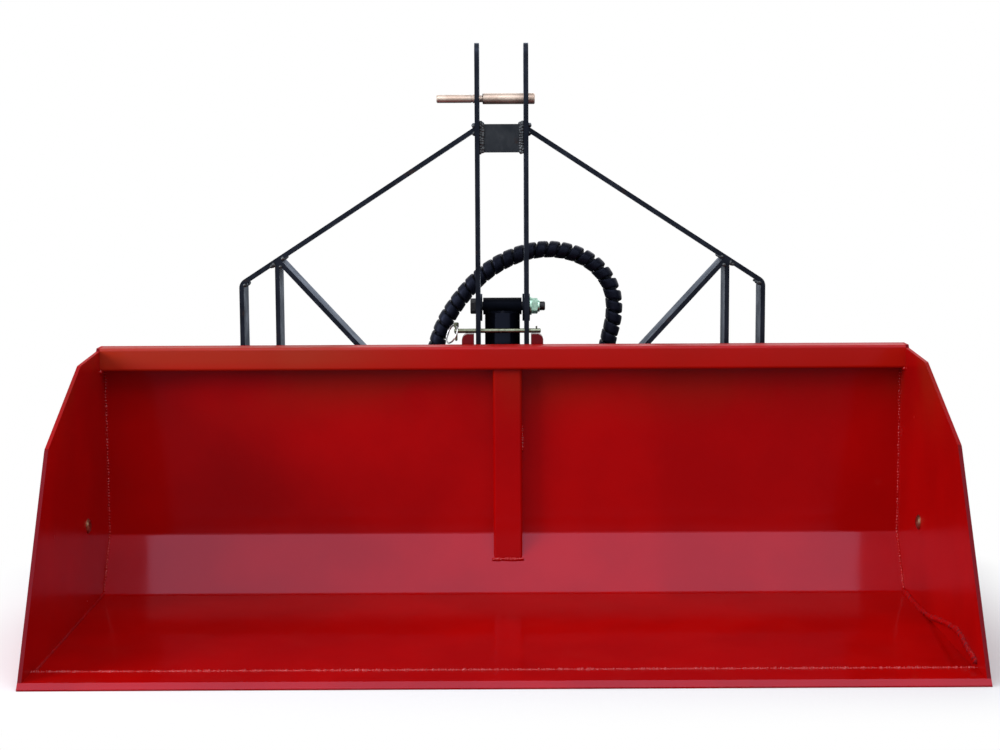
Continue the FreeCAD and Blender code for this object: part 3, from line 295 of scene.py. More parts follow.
@dataclass(frozen=True)
class GlossPaint:
    """Sprayed gloss paint with orange peel, dust, faded places and painted shade on the faces
    that turn to the front.
    """

    name: str
    colour: Colour
    shade: Colour
    dust: Colour = (0.42, 0.20, 0.15)
    gloss: float = 0.10
    dusty: float = 0.15
    shine: float = 0.28
    tint: Colour = (1.0, 0.66, 1.0)
    faded: Colour = (0.26, 0.022, 0.006)
    fade_low: float = 0.26
    fade_full: float = 0.44
    fade: float = 0.55
    fade_end: float = 9.0
    patchy: float = 1.0
    matt_height: float = 0.30
    # How strongly the faces that turn to the front get painted shade.
    front_painted_shade: float = 0.0

    def material(self) -> bpy.types.Material:
        """The paint as a node material."""
        bench = MaterialBench(self.name)
        height = bench.axis_place("Z")
        cloud = bench.noise(0.22, 4.0)
        colour = bench.blend(cloud.between(0.35, 0.70), self.shade, self.colour)
        old = height.between(self.fade_low, self.fade_full) * self.fade
        patches = bench.noise(0.30, 4.0, shift=11.0).between(0.42, 0.62)
        old = old * (patches * self.patchy + (1.0 - self.patchy))
        old = old * (self.fade_end - bench.axis_place("X")).between(0.0, 0.45)
        colour = bench.blend(old, colour, self.faded)
        up = bench.facing("Z").between(0.35, 0.95)
        specks = bench.noise(0.0035, 2.0, shift=3.0).between(0.71, 0.80)
        haze = bench.noise(0.07, 6.0, shift=7.0).between(0.45, 0.85)
        dust = up * (specks * 0.55 + haze * 0.10) * self.dusty
        colour = bench.blend(dust, colour, self.dust)
        matt = up * height.between(self.matt_height, self.matt_height + 0.02) * 0.42
        # Painted shade: faces that turn to the front (towards -Y), such as the side plates' front
        # edges, are darkened towards a dark red and made a little rougher.
        if self.front_painted_shade:
            front_shade_mask = (bench.facing("Y") * -1.0).between(0.25, 0.60)
            colour = bench.blend(front_shade_mask * self.front_painted_shade, colour, (0.10, 0.004, 0.006))
            matt = matt + front_shade_mask * 0.25
        peel = bench.noise(0.006, 2.0, shift=1.0)
        bench.bumps((peel, 0.00003), (bench.noise(0.12, 1.0, shift=5.0), 0.0004))
        rough = bench.noise(0.05, 5.0, shift=2.0) * 0.06 + (self.gloss - 0.03) + dust * 0.5
        return bench.surface(
            base_color=colour, roughness=rough + matt, ior=1.45,
            specular_ior_level=self.shine, specular_tint=self.tint,
        )


@dataclass(frozen=True)
class RolledSteel:
    """Hot-rolled bar with its blue-grey scale, light rubs and a little rust."""

    name: str
    scale: Colour = (0.0055, 0.0070, 0.0125)
    rubbed: Colour = (0.0200, 0.0245, 0.0380)
    rust: Colour = (0.034, 0.020, 0.015)
    rough: float = 0.50
    streaky: float = 0.08
    tint: Colour = (0.60, 0.72, 0.92)

    def material(self) -> bpy.types.Material:
        """The steel as a node material."""
        bench = MaterialBench(self.name)
        patches = bench.noise(0.045, 6.0).between(0.38, 0.68)
        streaks = bench.noise(0.012, 4.0, stretch=(1.0, 1.0, self.streaky), shift=4.0)
        colour = bench.blend(patches * 0.5 + streaks.between(0.45, 0.75) * 0.5, self.scale,
                             self.rubbed)
        rusty = bench.noise(0.02, 8.0, shift=9.0).between(0.62, 0.74)
        colour = bench.blend(rusty * 0.7, colour, self.rust)
        grain = bench.noise(0.0012, 3.0, shift=2.0)
        bench.bumps((grain, 0.00003), (patches, 0.00003))
        rough = patches * -0.12 + self.rough + rusty * 0.2
        return bench.surface(
            base_color=colour, metallic=0.55, roughness=rough, specular_ior_level=0.35,
            specular_tint=self.tint,
        )


@dataclass(frozen=True)
class Plating:
    """A plated or bright metal surface with a faint cloudiness."""

    name: str
    colour: Colour
    cloud: Colour
    rough: float = 0.28
    blotch: float = 0.006

    def material(self) -> bpy.types.Material:
        """The plating as a node material."""
        bench = MaterialBench(self.name)
        clouds = bench.noise(self.blotch, 4.0).between(0.35, 0.70)
        colour = bench.blend(clouds, self.colour, self.cloud)
        bench.bumps((bench.noise(0.0009, 2.0, shift=3.0), 0.000012))
        rough = bench.noise(self.blotch * 2, 4.0, shift=6.0) * 0.22 + (self.rough - 0.11)
        return bench.surface(base_color=colour, metallic=1.0, roughness=rough)


@dataclass(frozen=True)
class Moulded:
    """Black or coloured rubber or plastic with scuffs."""

    name: str
    colour: Colour
    scuff: Colour
    rough: float = 0.45
    shine: float = 0.5
    tint: Colour = (1.0, 1.0, 1.0)

    def material(self) -> bpy.types.Material:
        """The moulding as a node material."""
        bench = MaterialBench(self.name)
        scuffs = bench.noise(0.012, 7.0).between(0.52, 0.78)
        colour = bench.blend(scuffs, self.colour, self.scuff)
        bench.bumps((bench.noise(0.0011, 2.0, shift=2.0), 0.00003))
        rough = scuffs * 0.2 + self.rough
        return bench.surface(
            base_color=colour, roughness=rough, specular_ior_level=self.shine,
            specular_tint=self.tint,
        )


class Finish(Enum):
    """The part's finishes."""

    RED_PAINT = GlossPaint("red_paint", (0.44, 0.0015, 0.0012), (0.36, 0.0010, 0.0010))
    # The side plates' paint, with painted shade on its faces that turn to the front.
    RED_SIDES = GlossPaint(
        "red_side_paint", (0.44, 0.0015, 0.0012), (0.36, 0.0010, 0.0010), gloss=0.26, shine=0.17,
        front_painted_shade=0.75,
    )
    RED_RAIL = GlossPaint(
        "red_rail_paint", (0.46, 0.0055, 0.0020), (0.41, 0.0075, 0.0022), gloss=0.14,
        faded=(0.36, 0.044, 0.016), fade_low=0.38, fade_full=0.41, fade=0.85, fade_end=-0.05,
        patchy=0.35,
    )
    # Painted shade: the lock lugs' red is darkened to a deep maroon to stand for the shade they
    # sit in.
    LUG_PAINTED_SHADE = GlossPaint(
        "lug_painted_shade", (0.15, 0.004, 0.004), (0.10, 0.003, 0.003), gloss=0.22, fade=0.0,
        matt_height=9.0,
    )
    RED_BEADS = GlossPaint(
        "red_bead_paint", (0.46, 0.003, 0.003), (0.40, 0.002, 0.002), gloss=0.09, dusty=0.0,
        shine=0.60, tint=(1.0, 0.75, 0.85), fade=0.0, matt_height=9.0,
    )
    BLACK_PAINT = GlossPaint(
        "black_paint", (0.0050, 0.0058, 0.0110), (0.0025, 0.0030, 0.0055),
        dust=(0.08, 0.08, 0.08), gloss=0.20, dusty=0.3, shine=0.24, tint=(0.50, 0.60, 1.0),
        fade=0.0, matt_height=9.0,
    )
    # Matt black for the cylinder's cross tube, darker than the barrel's black paint: painted
    # shade on the cross tube.
    BLACK_MATT_PAINTED_SHADE = Moulded(
        "black_matt_painted_shade", (0.0016, 0.0022, 0.0040), (0.0040, 0.0048, 0.0070), 0.46, 0.06,
        (0.50, 0.60, 1.0),
    )
    DARK_STEEL = RolledSteel("dark_steel")
    PLATE_STEEL = RolledSteel(
        "plate_steel", (0.018, 0.0215, 0.0260), (0.044, 0.048, 0.054), streaky=0.6
    )
    WELD_METAL = RolledSteel("weld_metal", (0.040, 0.044, 0.048), (0.15, 0.16, 0.16), rough=0.42)
    BRIGHT_STEEL = Plating("bright_steel", (0.46, 0.46, 0.47), (0.34, 0.34, 0.35), 0.30, 0.010)
    YELLOW_ZINC = Plating("yellow_zinc", (0.66, 0.55, 0.47), (0.54, 0.42, 0.35), 0.46, 0.022)
    BOLT_ZINC = Plating("bolt_zinc", (0.42, 0.26, 0.16), (0.20, 0.10, 0.06), 0.30, 0.006)
    PALE_ZINC = Plating("pale_zinc", (0.24, 0.27, 0.20), (0.15, 0.165, 0.115), 0.24, 0.009)
    GREEN_ZINC = Plating("green_zinc", (0.60, 0.92, 0.76), (0.42, 0.70, 0.58), 0.34, 0.005)
    BLACK_STEEL = Plating("black_steel", (0.030, 0.030, 0.034), (0.060, 0.060, 0.064), 0.40)
    SPRING_WIRE = Plating("spring_wire", (0.60, 0.60, 0.61), (0.42, 0.42, 0.43), 0.25, 0.003)
    CHROME_ROD = Plating("chrome_rod", (0.72, 0.73, 0.75), (0.62, 0.63, 0.65), 0.14, 0.030)
    CAST_PISTON = Plating("cast_piston", (0.17, 0.17, 0.18), (0.10, 0.10, 0.11), 0.45)
    COUPLER_STEEL = Plating("coupler_steel", (0.52, 0.50, 0.44), (0.38, 0.36, 0.30), 0.26)
    SEAL_RUBBER = Moulded("seal_rubber", (0.020, 0.020, 0.022), (0.05, 0.05, 0.05))
    HOSE_RUBBER = Moulded(
        "hose_rubber", (0.004, 0.004, 0.005), (0.009, 0.009, 0.010), 0.42, 0.15, (0.50, 0.60, 1.0)
    )
    GUARD_PLASTIC = Moulded(
        "guard_plastic", (0.0055, 0.0065, 0.0125), (0.0105, 0.0125, 0.0240), 0.42, 0.20,
        (0.50, 0.60, 1.0),
    )
    CAP_RUBBER = Moulded("cap_rubber", (0.30, 0.012, 0.010), (0.18, 0.02, 0.02), 0.5)


class FinishRack:
    """Makes each finish's material once and puts it on pieces."""

    def __init__(self) -> None:
        """Starts with no materials."""
        self.made: dict[Finish, bpy.types.Material] = {}

    def material(self, finish: Finish) -> bpy.types.Material:
        """The material of a finish.

        Args:
            finish: Which one.

        Returns:
            Its material, made on first use.
        """
        if finish not in self.made:
            self.made[finish] = finish.value.material()
        return self.made[finish]

    def dress(self, piece: bpy.types.Object, finish: Finish) -> None:
        """Gives a piece one finish all over.

        Args:
            piece: A CAD node or a scene piece.
            finish: Its finish.
        """
        piece.data.materials.clear()
        piece.data.materials.append(self.material(finish))


# Geometry Nodes


class NodeTree:
    """A Geometry Nodes tree with named inputs."""

    def __init__(self, name: str) -> None:
        """Starts a tree with a geometry input and output.

        Args:
            name: The tree's name.
        """
        self.tree = bpy.data.node_groups.new(name, "GeometryNodeTree")
        self.identifiers: dict[str, str] = {}
        self.add_input("Geometry", "NodeSocketGeometry")
        self.tree.interface.new_socket(
            "Geometry", in_out="OUTPUT", socket_type="NodeSocketGeometry"
        )
        self.source = self.tree.nodes.new("NodeGroupInput")
        self.result = self.tree.nodes.new("NodeGroupOutput")

    def add_input(self, name: str, kind: str) -> None:
        """Adds a named input.

        Args:
            name: The input's name.
            kind: Its socket type.
        """
        socket = self.tree.interface.new_socket(name, in_out="INPUT", socket_type=kind)
        self.identifiers[name] = socket.identifier

    def given(self, name: str) -> bpy.types.NodeSocket:
        """The socket of a named input.

        Args:
            name: The input's name.

        Returns:
            Its socket inside the tree.
        """
        return self.source.outputs[name]

    def node(
        self,
        kind: str,
        settings: Optional[dict[str, object]] = None,
        values: Optional[dict[object, object]] = None,
    ) -> bpy.types.Node:
        """Adds a node, with its settings first and then its sockets.

        Args:
            kind: The node's type.
            settings: The node's own settings.
            values: A value or socket for each named or numbered input.

        Returns:
            The node.
        """
        node = self.tree.nodes.new(kind)
        for name, value in (settings or {}).items():
            setattr(node, name, value)
        for name, value in (values or {}).items():
            if isinstance(value, bpy.types.NodeSocket):
                self.tree.links.new(value, node.inputs[name])
            else:
                node.inputs[name].default_value = value
        return node

    def finish(self, geometry: bpy.types.NodeSocket, material: bpy.types.NodeSocket) -> None:
        """Ends the tree in Realize Instances and Set Material.

        Args:
            geometry: What the tree has made.
            material: The material's socket.
        """
        real = self.node("GeometryNodeRealizeInstances", values={0: geometry})
        smooth = self.node("GeometryNodeSetShadeSmooth", values={0: real.outputs[0]})
        painted = self.node(
            "GeometryNodeSetMaterial", values={0: smooth.outputs[0], "Material": material}
        )
        self.tree.links.new(painted.outputs[0], self.result.inputs[0])


def mesh_object(
    name: str, points: Sequence[Sequence[float]], edges: Sequence[tuple[int, int]],
    faces: Sequence[Sequence[int]],
) -> bpy.types.Object:
    """A new mesh object at the origin.

    Args:
        name: The object's name.
        points: Its vertices, in metres in the row frame.
        edges: Its loose edges.
        faces: Its faces.

    Returns:
        The object, linked into the scene.
    """
    mesh = bpy.data.meshes.new(name)
    mesh.from_pydata([tuple(p) for p in points], list(edges), list(faces))
    mesh.update()
    piece = bpy.data.objects.new(name, mesh)
    bpy.context.scene.collection.objects.link(piece)
    return piece


def grown(piece: bpy.types.Object, tree: NodeTree, inputs: dict[str, object]) -> bpy.types.Object:
    """Runs a tree on a piece and keeps the result as its plain mesh.

    Args:
        piece: The object with the tree's starting geometry.
        tree: The tree.
        inputs: A value for each named input.

    Returns:
        The piece, with the result as its mesh and no modifier.
    """
    modifier = piece.modifiers.new(tree.tree.name, "NODES")
    modifier.node_group = tree.tree
    for name, value in inputs.items():
        modifier[tree.identifiers[name]] = value
    bpy.context.view_layer.update()
    graph = bpy.context.evaluated_depsgraph_get()
    mesh = bpy.data.meshes.new_from_object(piece.evaluated_get(graph))
    piece.modifiers.clear()
    piece.data = mesh
    mesh.name = piece.name
    return piece


@dataclass
class WeldShop:
    """Lays weld beads as rows of overlapping drops along seams."""

    rack: FinishRack
    tree: NodeTree = field(init=False)

    def __post_init__(self) -> None:
        """Builds the bead tree."""
        tree = NodeTree("weld_bead")
        for name, kind in (
            ("Spacing", "NodeSocketFloat"), ("Drop", "NodeSocketFloat"),
            ("Seed", "NodeSocketInt"), ("Finish", "NodeSocketMaterial"),
        ):
            tree.add_input(name, kind)
        line = tree.node("GeometryNodeMeshToCurve", values={0: tree.given("Geometry")})
        even = tree.node(
            "GeometryNodeResampleCurve", {"mode": "LENGTH"},
            {"Curve": line.outputs[0], "Length": tree.given("Spacing")},
        )
        drop = tree.node(
            "GeometryNodeMeshIcoSphere", values={"Radius": tree.given("Drop"), "Subdivisions": 2}
        )
        turn = tree.node(
            "FunctionNodeRandomValue", {"data_type": "FLOAT_VECTOR"},
            {0: (0.0, 0.0, 0.0), 1: (6.283, 6.283, 6.283), "Seed": tree.given("Seed")},
        )
        grow = tree.node(
            "FunctionNodeRandomValue", {"data_type": "FLOAT_VECTOR"},
            {0: (0.60, 0.60, 0.60), 1: (1.20, 1.20, 1.20), "Seed": tree.given("Seed")},
        )
        drops = tree.node(
            "GeometryNodeInstanceOnPoints",
            values={
                "Points": even.outputs[0], "Instance": drop.outputs[0],
                "Rotation": turn.outputs[0], "Scale": grow.outputs[0],
            },
        )
        tree.finish(drops.outputs[0], tree.given("Finish"))
        self.tree = tree

    def beads(
        self, name: str, seams: Iterable[Sequence[Point]], drop: float, finish: Finish,
        body: str, slot: str, spread: float = 1.05,
    ) -> bpy.types.Object:
        """Welds seams in one piece.

        Args:
            name: The piece's name.
            seams: The runs of points that the beads follow, in metres.
            drop: The bead's half width.
            finish: The bead's finish.
            body: The body that it rides on.
            slot: The record's material slot that it stands for. Not used.
            spread: The drops' spacing as a share of the half width.

        Returns:
            The beads.
        """
        points: list[Point] = []
        edges: list[tuple[int, int]] = []
        for seam in seams:
            first = len(points)
            points += list(seam)
            edges += [(i, i + 1) for i in range(first, len(points) - 1)]
        piece = mesh_object(name, points, edges, [])
        grown(piece, self.tree, {
            "Spacing": drop * spread, "Drop": drop, "Seed": 7,
            "Finish": self.rack.material(finish),
        })
        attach(piece, body)
        LOG.info("%s: %d faces", name, len(piece.data.polygons))
        return piece


def either_side(seams: Iterable[Sequence[Point]]) -> list[list[Point]]:
    """Seams with their twins on the other side of the middle plane.

    Args:
        seams: The seams on one side.

    Returns:
        The seams of both sides.
    """
    runs = [list(seam) for seam in seams]
    return runs + [[(-x, y, z) for x, y, z in seam] for seam in runs]


# Sub-assemblies


@dataclass
class Bucket:
    """The red bucket with its rail, rib, lugs, pins and bolts."""

    rack: FinishRack
    shop: WeldShop
    painted: tuple[str, ...] = (
        "floor_and_back", "cutting_edge", "centre_rib", "hinge_lugs_left",
        "hinge_lugs_right", "rod_lugs",
    )
    sides: tuple[str, ...] = ("side_plate_left", "side_plate_right")
    lugs: tuple[str, ...] = ("lock_lug_left", "lock_lug_right")
    zinc: tuple[str, ...] = (
        "side_bolts", "side_bolt_washers", "side_bolt_nuts", "hinge_pin_washers",
        "rod_pin_washer",
    )
    bright: tuple[str, ...] = ("hinge_pins", "rod_pin")
    bead: float = 0.0036

    def build(self, nodes: dict[str, bpy.types.Object]) -> None:
        """Dresses the bucket's solids and welds its seams.

        Args:
            nodes: The CAD nodes by name.
        """
        for names, finish in (
            (self.painted, Finish.RED_PAINT), (self.sides, Finish.RED_SIDES),
            (("top_rail",), Finish.RED_RAIL), (self.lugs, Finish.LUG_PAINTED_SHADE),
            (self.zinc, Finish.BOLT_ZINC), (self.bright, Finish.BRIGHT_STEEL),
        ):
            for name in names:
                self.rack.dress(nodes[name], finish)
        self.weld_inside()
        self.weld_behind()

    def weld_inside(self) -> None:
        """The beads that show from the mouth."""
        # The side plate's inner face, the lip's back edge, the slope's foot and the back wall
        side, lip, heel, bend = 0.6935, -0.3300, 0.180, 0.2495
        wall = [
            (side, heel + 0.002, 0.0065), (side, bend - 0.001, 0.0945), (side, bend, 0.102),
            (side, bend, 0.388),
        ]
        rail = [(side, 0.2100, 0.3895), (side, 0.2495, 0.3895)]
        seams = either_side([rail])
        seams.append([(-0.702, lip - 0.0015, 0.0086), (0.702, lip - 0.0015, 0.0086)])
        seams.append([(-0.0165, 0.2185, 0.0560), (0.0325, 0.2185, 0.0560)])
        seams.append([(0.0335, bend, 0.245), (0.0335, bend, 0.285)])
        self.shop.beads(
            "bucket_inside_beads", seams, self.bead, Finish.RED_BEADS, "bucket", "red_paint"
        )
        self.shop.beads(
            "bucket_corner_beads", either_side([wall]), 0.0030, Finish.RED_BEADS, "bucket",
            "red_paint", spread=1.75,
        )
        self.shop.beads(
            "bucket_floor_bead", [[(-side, lip, 0.0045), (-side, heel, 0.0050)]], 0.0024,
            Finish.RED_SIDES, "bucket", "red_paint",
        )
        self.shop.beads(
            "bucket_wavy_bead", [[
                (side, lip + 0.001, 0.0180), (side, -0.3150, 0.0211), (side, -0.2780, 0.0249),
                (side, -0.2524, 0.0304), (side, -0.2133, 0.0359), (side, -0.1610, 0.0305),
                (side, -0.0930, 0.0215), (side, -0.0222, 0.0098), (side, 0.0524, 0.0050),
                (side, heel, 0.0050),
            ]], 0.0054, Finish.RED_SIDES, "bucket", "red_paint", spread=0.60,
        )

    def weld_behind(self) -> None:
        """The beads that hold the lugs behind the slope and the back wall."""
        lugs = []
        for x in (0.1705, 0.2295):
            lugs.append([(x, 0.1935, 0.0125), (x, 0.2545, 0.0930), (x, 0.2545, 0.166)])
        for x in (0.0175, 0.0265):
            lugs.append([(x, 0.2205, 0.048), (x, 0.2545, 0.0945), (x, 0.2545, 0.139)])
        lugs.append([(0.0505, 0.2545, 0.3850), (0.0700, 0.2545, 0.3850)])
        self.shop.beads(
            "bucket_lug_beads", either_side(lugs), 0.0028, Finish.RED_BEADS, "bucket",
            "red_paint",
        )


@dataclass
class HitchFrame:
    """The bare steel frame that the tractor carries."""

    rack: FinishRack
    shop: WeldShop
    steel: tuple[str, ...] = (
        "upright_left", "upright_right", "a_bar_left", "a_bar_right",
        "clevis_plate_left", "clevis_plate_right", "brace_left", "brace_right", "lower_beam",
        "beam_end_caps", "hinge_ears", "pivot_discs",
    )
    front: float = 0.275
    back: float = 0.340

    def build(self, nodes: dict[str, bpy.types.Object]) -> None:
        """Dresses the frame's solids and welds its joints.

        Args:
            nodes: The CAD nodes by name.
        """
        for name in self.steel:
            self.rack.dress(nodes[name], Finish.DARK_STEEL)
        self.rack.dress(nodes["top_cross_plate"], Finish.PLATE_STEEL)
        self.rack.dress(nodes["hinge_bushes"], Finish.BRIGHT_STEEL)
        self.rack.dress(nodes["cylinder_bolt"], Finish.BLACK_STEEL)
        self.rack.dress(nodes["cylinder_nut"], Finish.GREEN_ZINC)
        self.rack.dress(nodes["cylinder_bolt_washer"], Finish.GREEN_ZINC)
        self.weld()

    def across(self, x: float, z: float) -> list[Point]:
        """A seam across the bars' width.

        Args:
            x: Its place across.
            z: Its height.

        Returns:
            The seam.
        """
        return [(x, self.front, z), (x, self.back, z)]

    def weld(self) -> None:
        """The frame's joints."""
        seams = [
            self.across(0.0478, 0.8088), self.across(0.0478, 0.7952),
            self.across(0.3990, 0.5690), self.across(0.4030, 0.5665),
            self.across(0.3872, 0.5655), self.across(0.3835, 0.5800),
            self.across(0.4505, 0.5335), self.across(0.0478, 0.1945),
            self.across(0.0478, 0.2105),
            [(0.0365, 0.2680, 0.8125), (0.0365, 0.2760, 0.8125)],
            [(0.0330, 0.2690, 0.8110), (0.0330, 0.2755, 0.8110)],
            [(0.0370, 0.2670, 0.763), (0.0370, 0.2670, 0.811)],
            [(0.0335, 0.2678, 0.764), (0.0335, 0.2678, 0.809)],
            [(0.0370, 0.2770, 0.764), (0.0370, 0.2770, 0.809)],
        ]
        for x in (0.0380, 0.0470, 0.3885, 0.3975, 0.4515, 0.4605):
            seams.append([(x, self.back, 0.108), (x, self.back, 0.152)])
        self.shop.beads(
            "frame_beads", either_side(seams), 0.0042, Finish.WELD_METAL, "hitch_frame",
            "dark_steel",
        )


@dataclass
class TippingCylinder:
    """The hydraulic cylinder and its fittings."""

    rack: FinishRack
    finishes: dict[str, Finish] = field(default_factory=lambda: {
        "cylinder_barrel": Finish.BLACK_PAINT, "cylinder_cross_tube": Finish.BLACK_MATT_PAINTED_SHADE,
        "cylinder_gland": Finish.BLACK_PAINT, "port_boss": Finish.BLACK_PAINT,
        "rod_eye": Finish.BLACK_PAINT, "rod_wiper": Finish.SEAL_RUBBER,
        "piston_seal": Finish.SEAL_RUBBER, "piston_rod": Finish.CHROME_ROD,
        "piston": Finish.CAST_PISTON, "piston_nut": Finish.BLACK_STEEL,
        "port_elbow": Finish.YELLOW_ZINC, "hose_ferrule": Finish.YELLOW_ZINC,
        "coupler_ferrule": Finish.YELLOW_ZINC, "hose_coupler": Finish.COUPLER_STEEL,
        "coupler_cap": Finish.CAP_RUBBER,
    })

    def build(self, nodes: dict[str, bpy.types.Object]) -> None:
        """Dresses the cylinder's solids.

        Args:
            nodes: The CAD nodes by name.
        """
        for name, finish in self.finishes.items():
            self.rack.dress(nodes[name], finish)


@dataclass
class PulledPins:
    """The top-link pin, the lock rod and its linch pin."""

    rack: FinishRack
    zinc: tuple[str, ...] = ("top_link_pin", "top_pin_ring")
    pale: tuple[str, ...] = ("lock_rod", "lock_stop_pin", "linch_pin_body")

    def build(self, nodes: dict[str, bpy.types.Object]) -> None:
        """Dresses the pins.

        Args:
            nodes: The CAD nodes by name.
        """
        for name in self.zinc:
            self.rack.dress(nodes[name], Finish.YELLOW_ZINC)
        for name in self.pale:
            self.rack.dress(nodes[name], Finish.PALE_ZINC)
        self.rack.dress(nodes["linch_ring"], Finish.SPRING_WIRE)


@dataclass
class HydraulicHose:
    """The hose from the cylinder to its coupler, in its spiral guard."""

    rack: FinishRack
    radius: float = 0.00875
    guard_inner: float = 0.0094
    guard_outer: float = 0.0151
    guard_width: float = 0.0164
    guard_pitch: float = 0.0190
    guard_opening: float = 0.80
    guard_tilt: float = 0.0003
    guard_rim: float = 0.0009
    guard_cover: float = 0.478
    guard_start: float = 0.030
    guard_spare: float = 0.030
    steps: int = 20
    length: float = 1.572
    route: tuple[Point, ...] = (
        (0.0, 0.37897, 0.39648), (0.0, 0.37633, 0.35556), (0.004, 0.376, 0.313),
        (0.024, 0.378, 0.268), (0.068, 0.382, 0.238), (0.122, 0.386, 0.238),
        (0.163, 0.389, 0.268), (0.181, 0.390, 0.313), (0.182, 0.390, 0.366),
        (0.190, 0.390, 0.420), (0.204, 0.390, 0.471), (0.199, 0.390, 0.522),
        (0.166, 0.390, 0.565), (0.116, 0.390, 0.587), (0.061, 0.390, 0.589),
        (0.008, 0.390, 0.572), (-0.039, 0.390, 0.542), (-0.077, 0.390, 0.500),
        (-0.107, 0.390, 0.455), (-0.124, 0.391, 0.403), (-0.132, 0.395, 0.348),
        (-0.133, 0.403, 0.293), (-0.130, 0.415, 0.239), (-0.124, 0.431, 0.186),
        (-0.115, 0.449, 0.134), (-0.102, 0.469, 0.083), (-0.079, 0.494, 0.041),
        (-0.037, 0.516, 0.0160), (0.014, 0.521, 0.0158), (0.064, 0.509, 0.0155),
        (0.112, 0.496, 0.0135),
    )

    def build(self, nodes: dict[str, bpy.types.Object]) -> None:
        """Args:
            nodes: The CAD nodes by name. Not used.
        """
        hose = self.lay_hose()
        guard = self.wind_guard(self.centreline(hose))
        for piece in (hose, guard):
            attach(piece, "barrel")
        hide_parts("hydraulic_hose")
        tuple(self.route[0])

    def lay_hose(self) -> bpy.types.Object:
        """The hose as a smooth curve through its route."""
        curve = bpy.data.curves.new("hose", "CURVE")
        curve.dimensions = "3D"
        curve.resolution_u = 8
        curve.bevel_depth = self.radius
        curve.bevel_resolution = 4
        curve.use_fill_caps = True
        spline = curve.splines.new("NURBS")
        spline.points.add(len(self.route) - 1)
        for point, place in zip(spline.points, self.route):
            point.co = (*place, 1.0)
        spline.order_u = 3
        spline.use_endpoint_u = True
        curve.materials.append(self.rack.material(Finish.HOSE_RUBBER))
        hose = bpy.data.objects.new("hose", curve)
        bpy.context.scene.collection.objects.link(hose)
        return hose

    def centreline(self, hose: bpy.types.Object) -> list[Vector]:
        """The points of the hose's own line.

        Args:
            hose: The hose's curve object.

        Returns:
            The points in order from the cylinder.
        """
        depth, hose.data.bevel_depth = hose.data.bevel_depth, 0.0
        bpy.context.view_layer.update()
        graph = bpy.context.evaluated_depsgraph_get()
        line = bpy.data.meshes.new_from_object(hose.evaluated_get(graph))
        points = [v.co.copy() for v in line.vertices]
        bpy.data.meshes.remove(line)
        hose.data.bevel_depth = depth
        start = Vector(self.route[0])
        if (points[0] - start).length > (points[-1] - start).length:
            points.reverse()
        return points

    def wind_guard(self, line: list[Vector]) -> bpy.types.Object:
        """The plastic band wound round the hose.

        Args:
            line: The hose's centreline.

        Returns:
            The guard.
        """
        frames = RunningFrames(line)
        LOG.info("hose centreline: %.4f m", frames.length)
        half, rim, tilt = self.guard_width / 2, self.guard_rim, self.guard_tilt
        low, high = self.guard_outer - tilt, self.guard_outer + tilt
        profile = [
            (-1.0, self.guard_inner), (-1.0, low - rim), (-1.0 + rim / half, low - rim * 0.25),
            (-0.5, self.guard_outer - tilt * 0.5), (0.5, self.guard_outer + tilt * 0.5),
            (1.0 - rim / half, high - rim * 0.25), (1.0, high - rim), (1.0, self.guard_inner),
        ]
        points: list[Vector] = []
        faces: list[tuple[int, ...]] = []
        count = len(profile)
        along, angle, stations = self.guard_start, 0.0, 0
        while along < frames.length - self.guard_spare:
            bend = frames.bend(along)
            pitch = self.guard_pitch * (1.0 + self.guard_opening * bend.length * self.guard_outer)
            outwards = frames.point(along, angle, 1.0) - frames.point(along, angle, 0.0)
            stretch = 1.0 - self.guard_outer * bend.dot(outwards)
            reach = min(half / stretch, pitch * self.guard_cover)
            for share, radius in profile:
                points.append(frames.point(along + share * reach, angle, radius))
            angle -= 2 * math.pi / self.steps
            along += pitch / self.steps
            stations += 1
        for i in range(stations - 1):
            for j in range(count):
                a, b = i * count + j, i * count + (j + 1) % count
                faces.append((a, b, b + count, a + count))
        faces.append(tuple(range(count)))
        faces.append(tuple(reversed(range((stations - 1) * count, stations * count))))
        guard = mesh_object("hose_guard", points, [], faces)
        recalculate_normals(guard)
        for polygon in guard.data.polygons:
            polygon.use_smooth = True
        self.rack.dress(guard, Finish.GUARD_PLASTIC)
        return guard


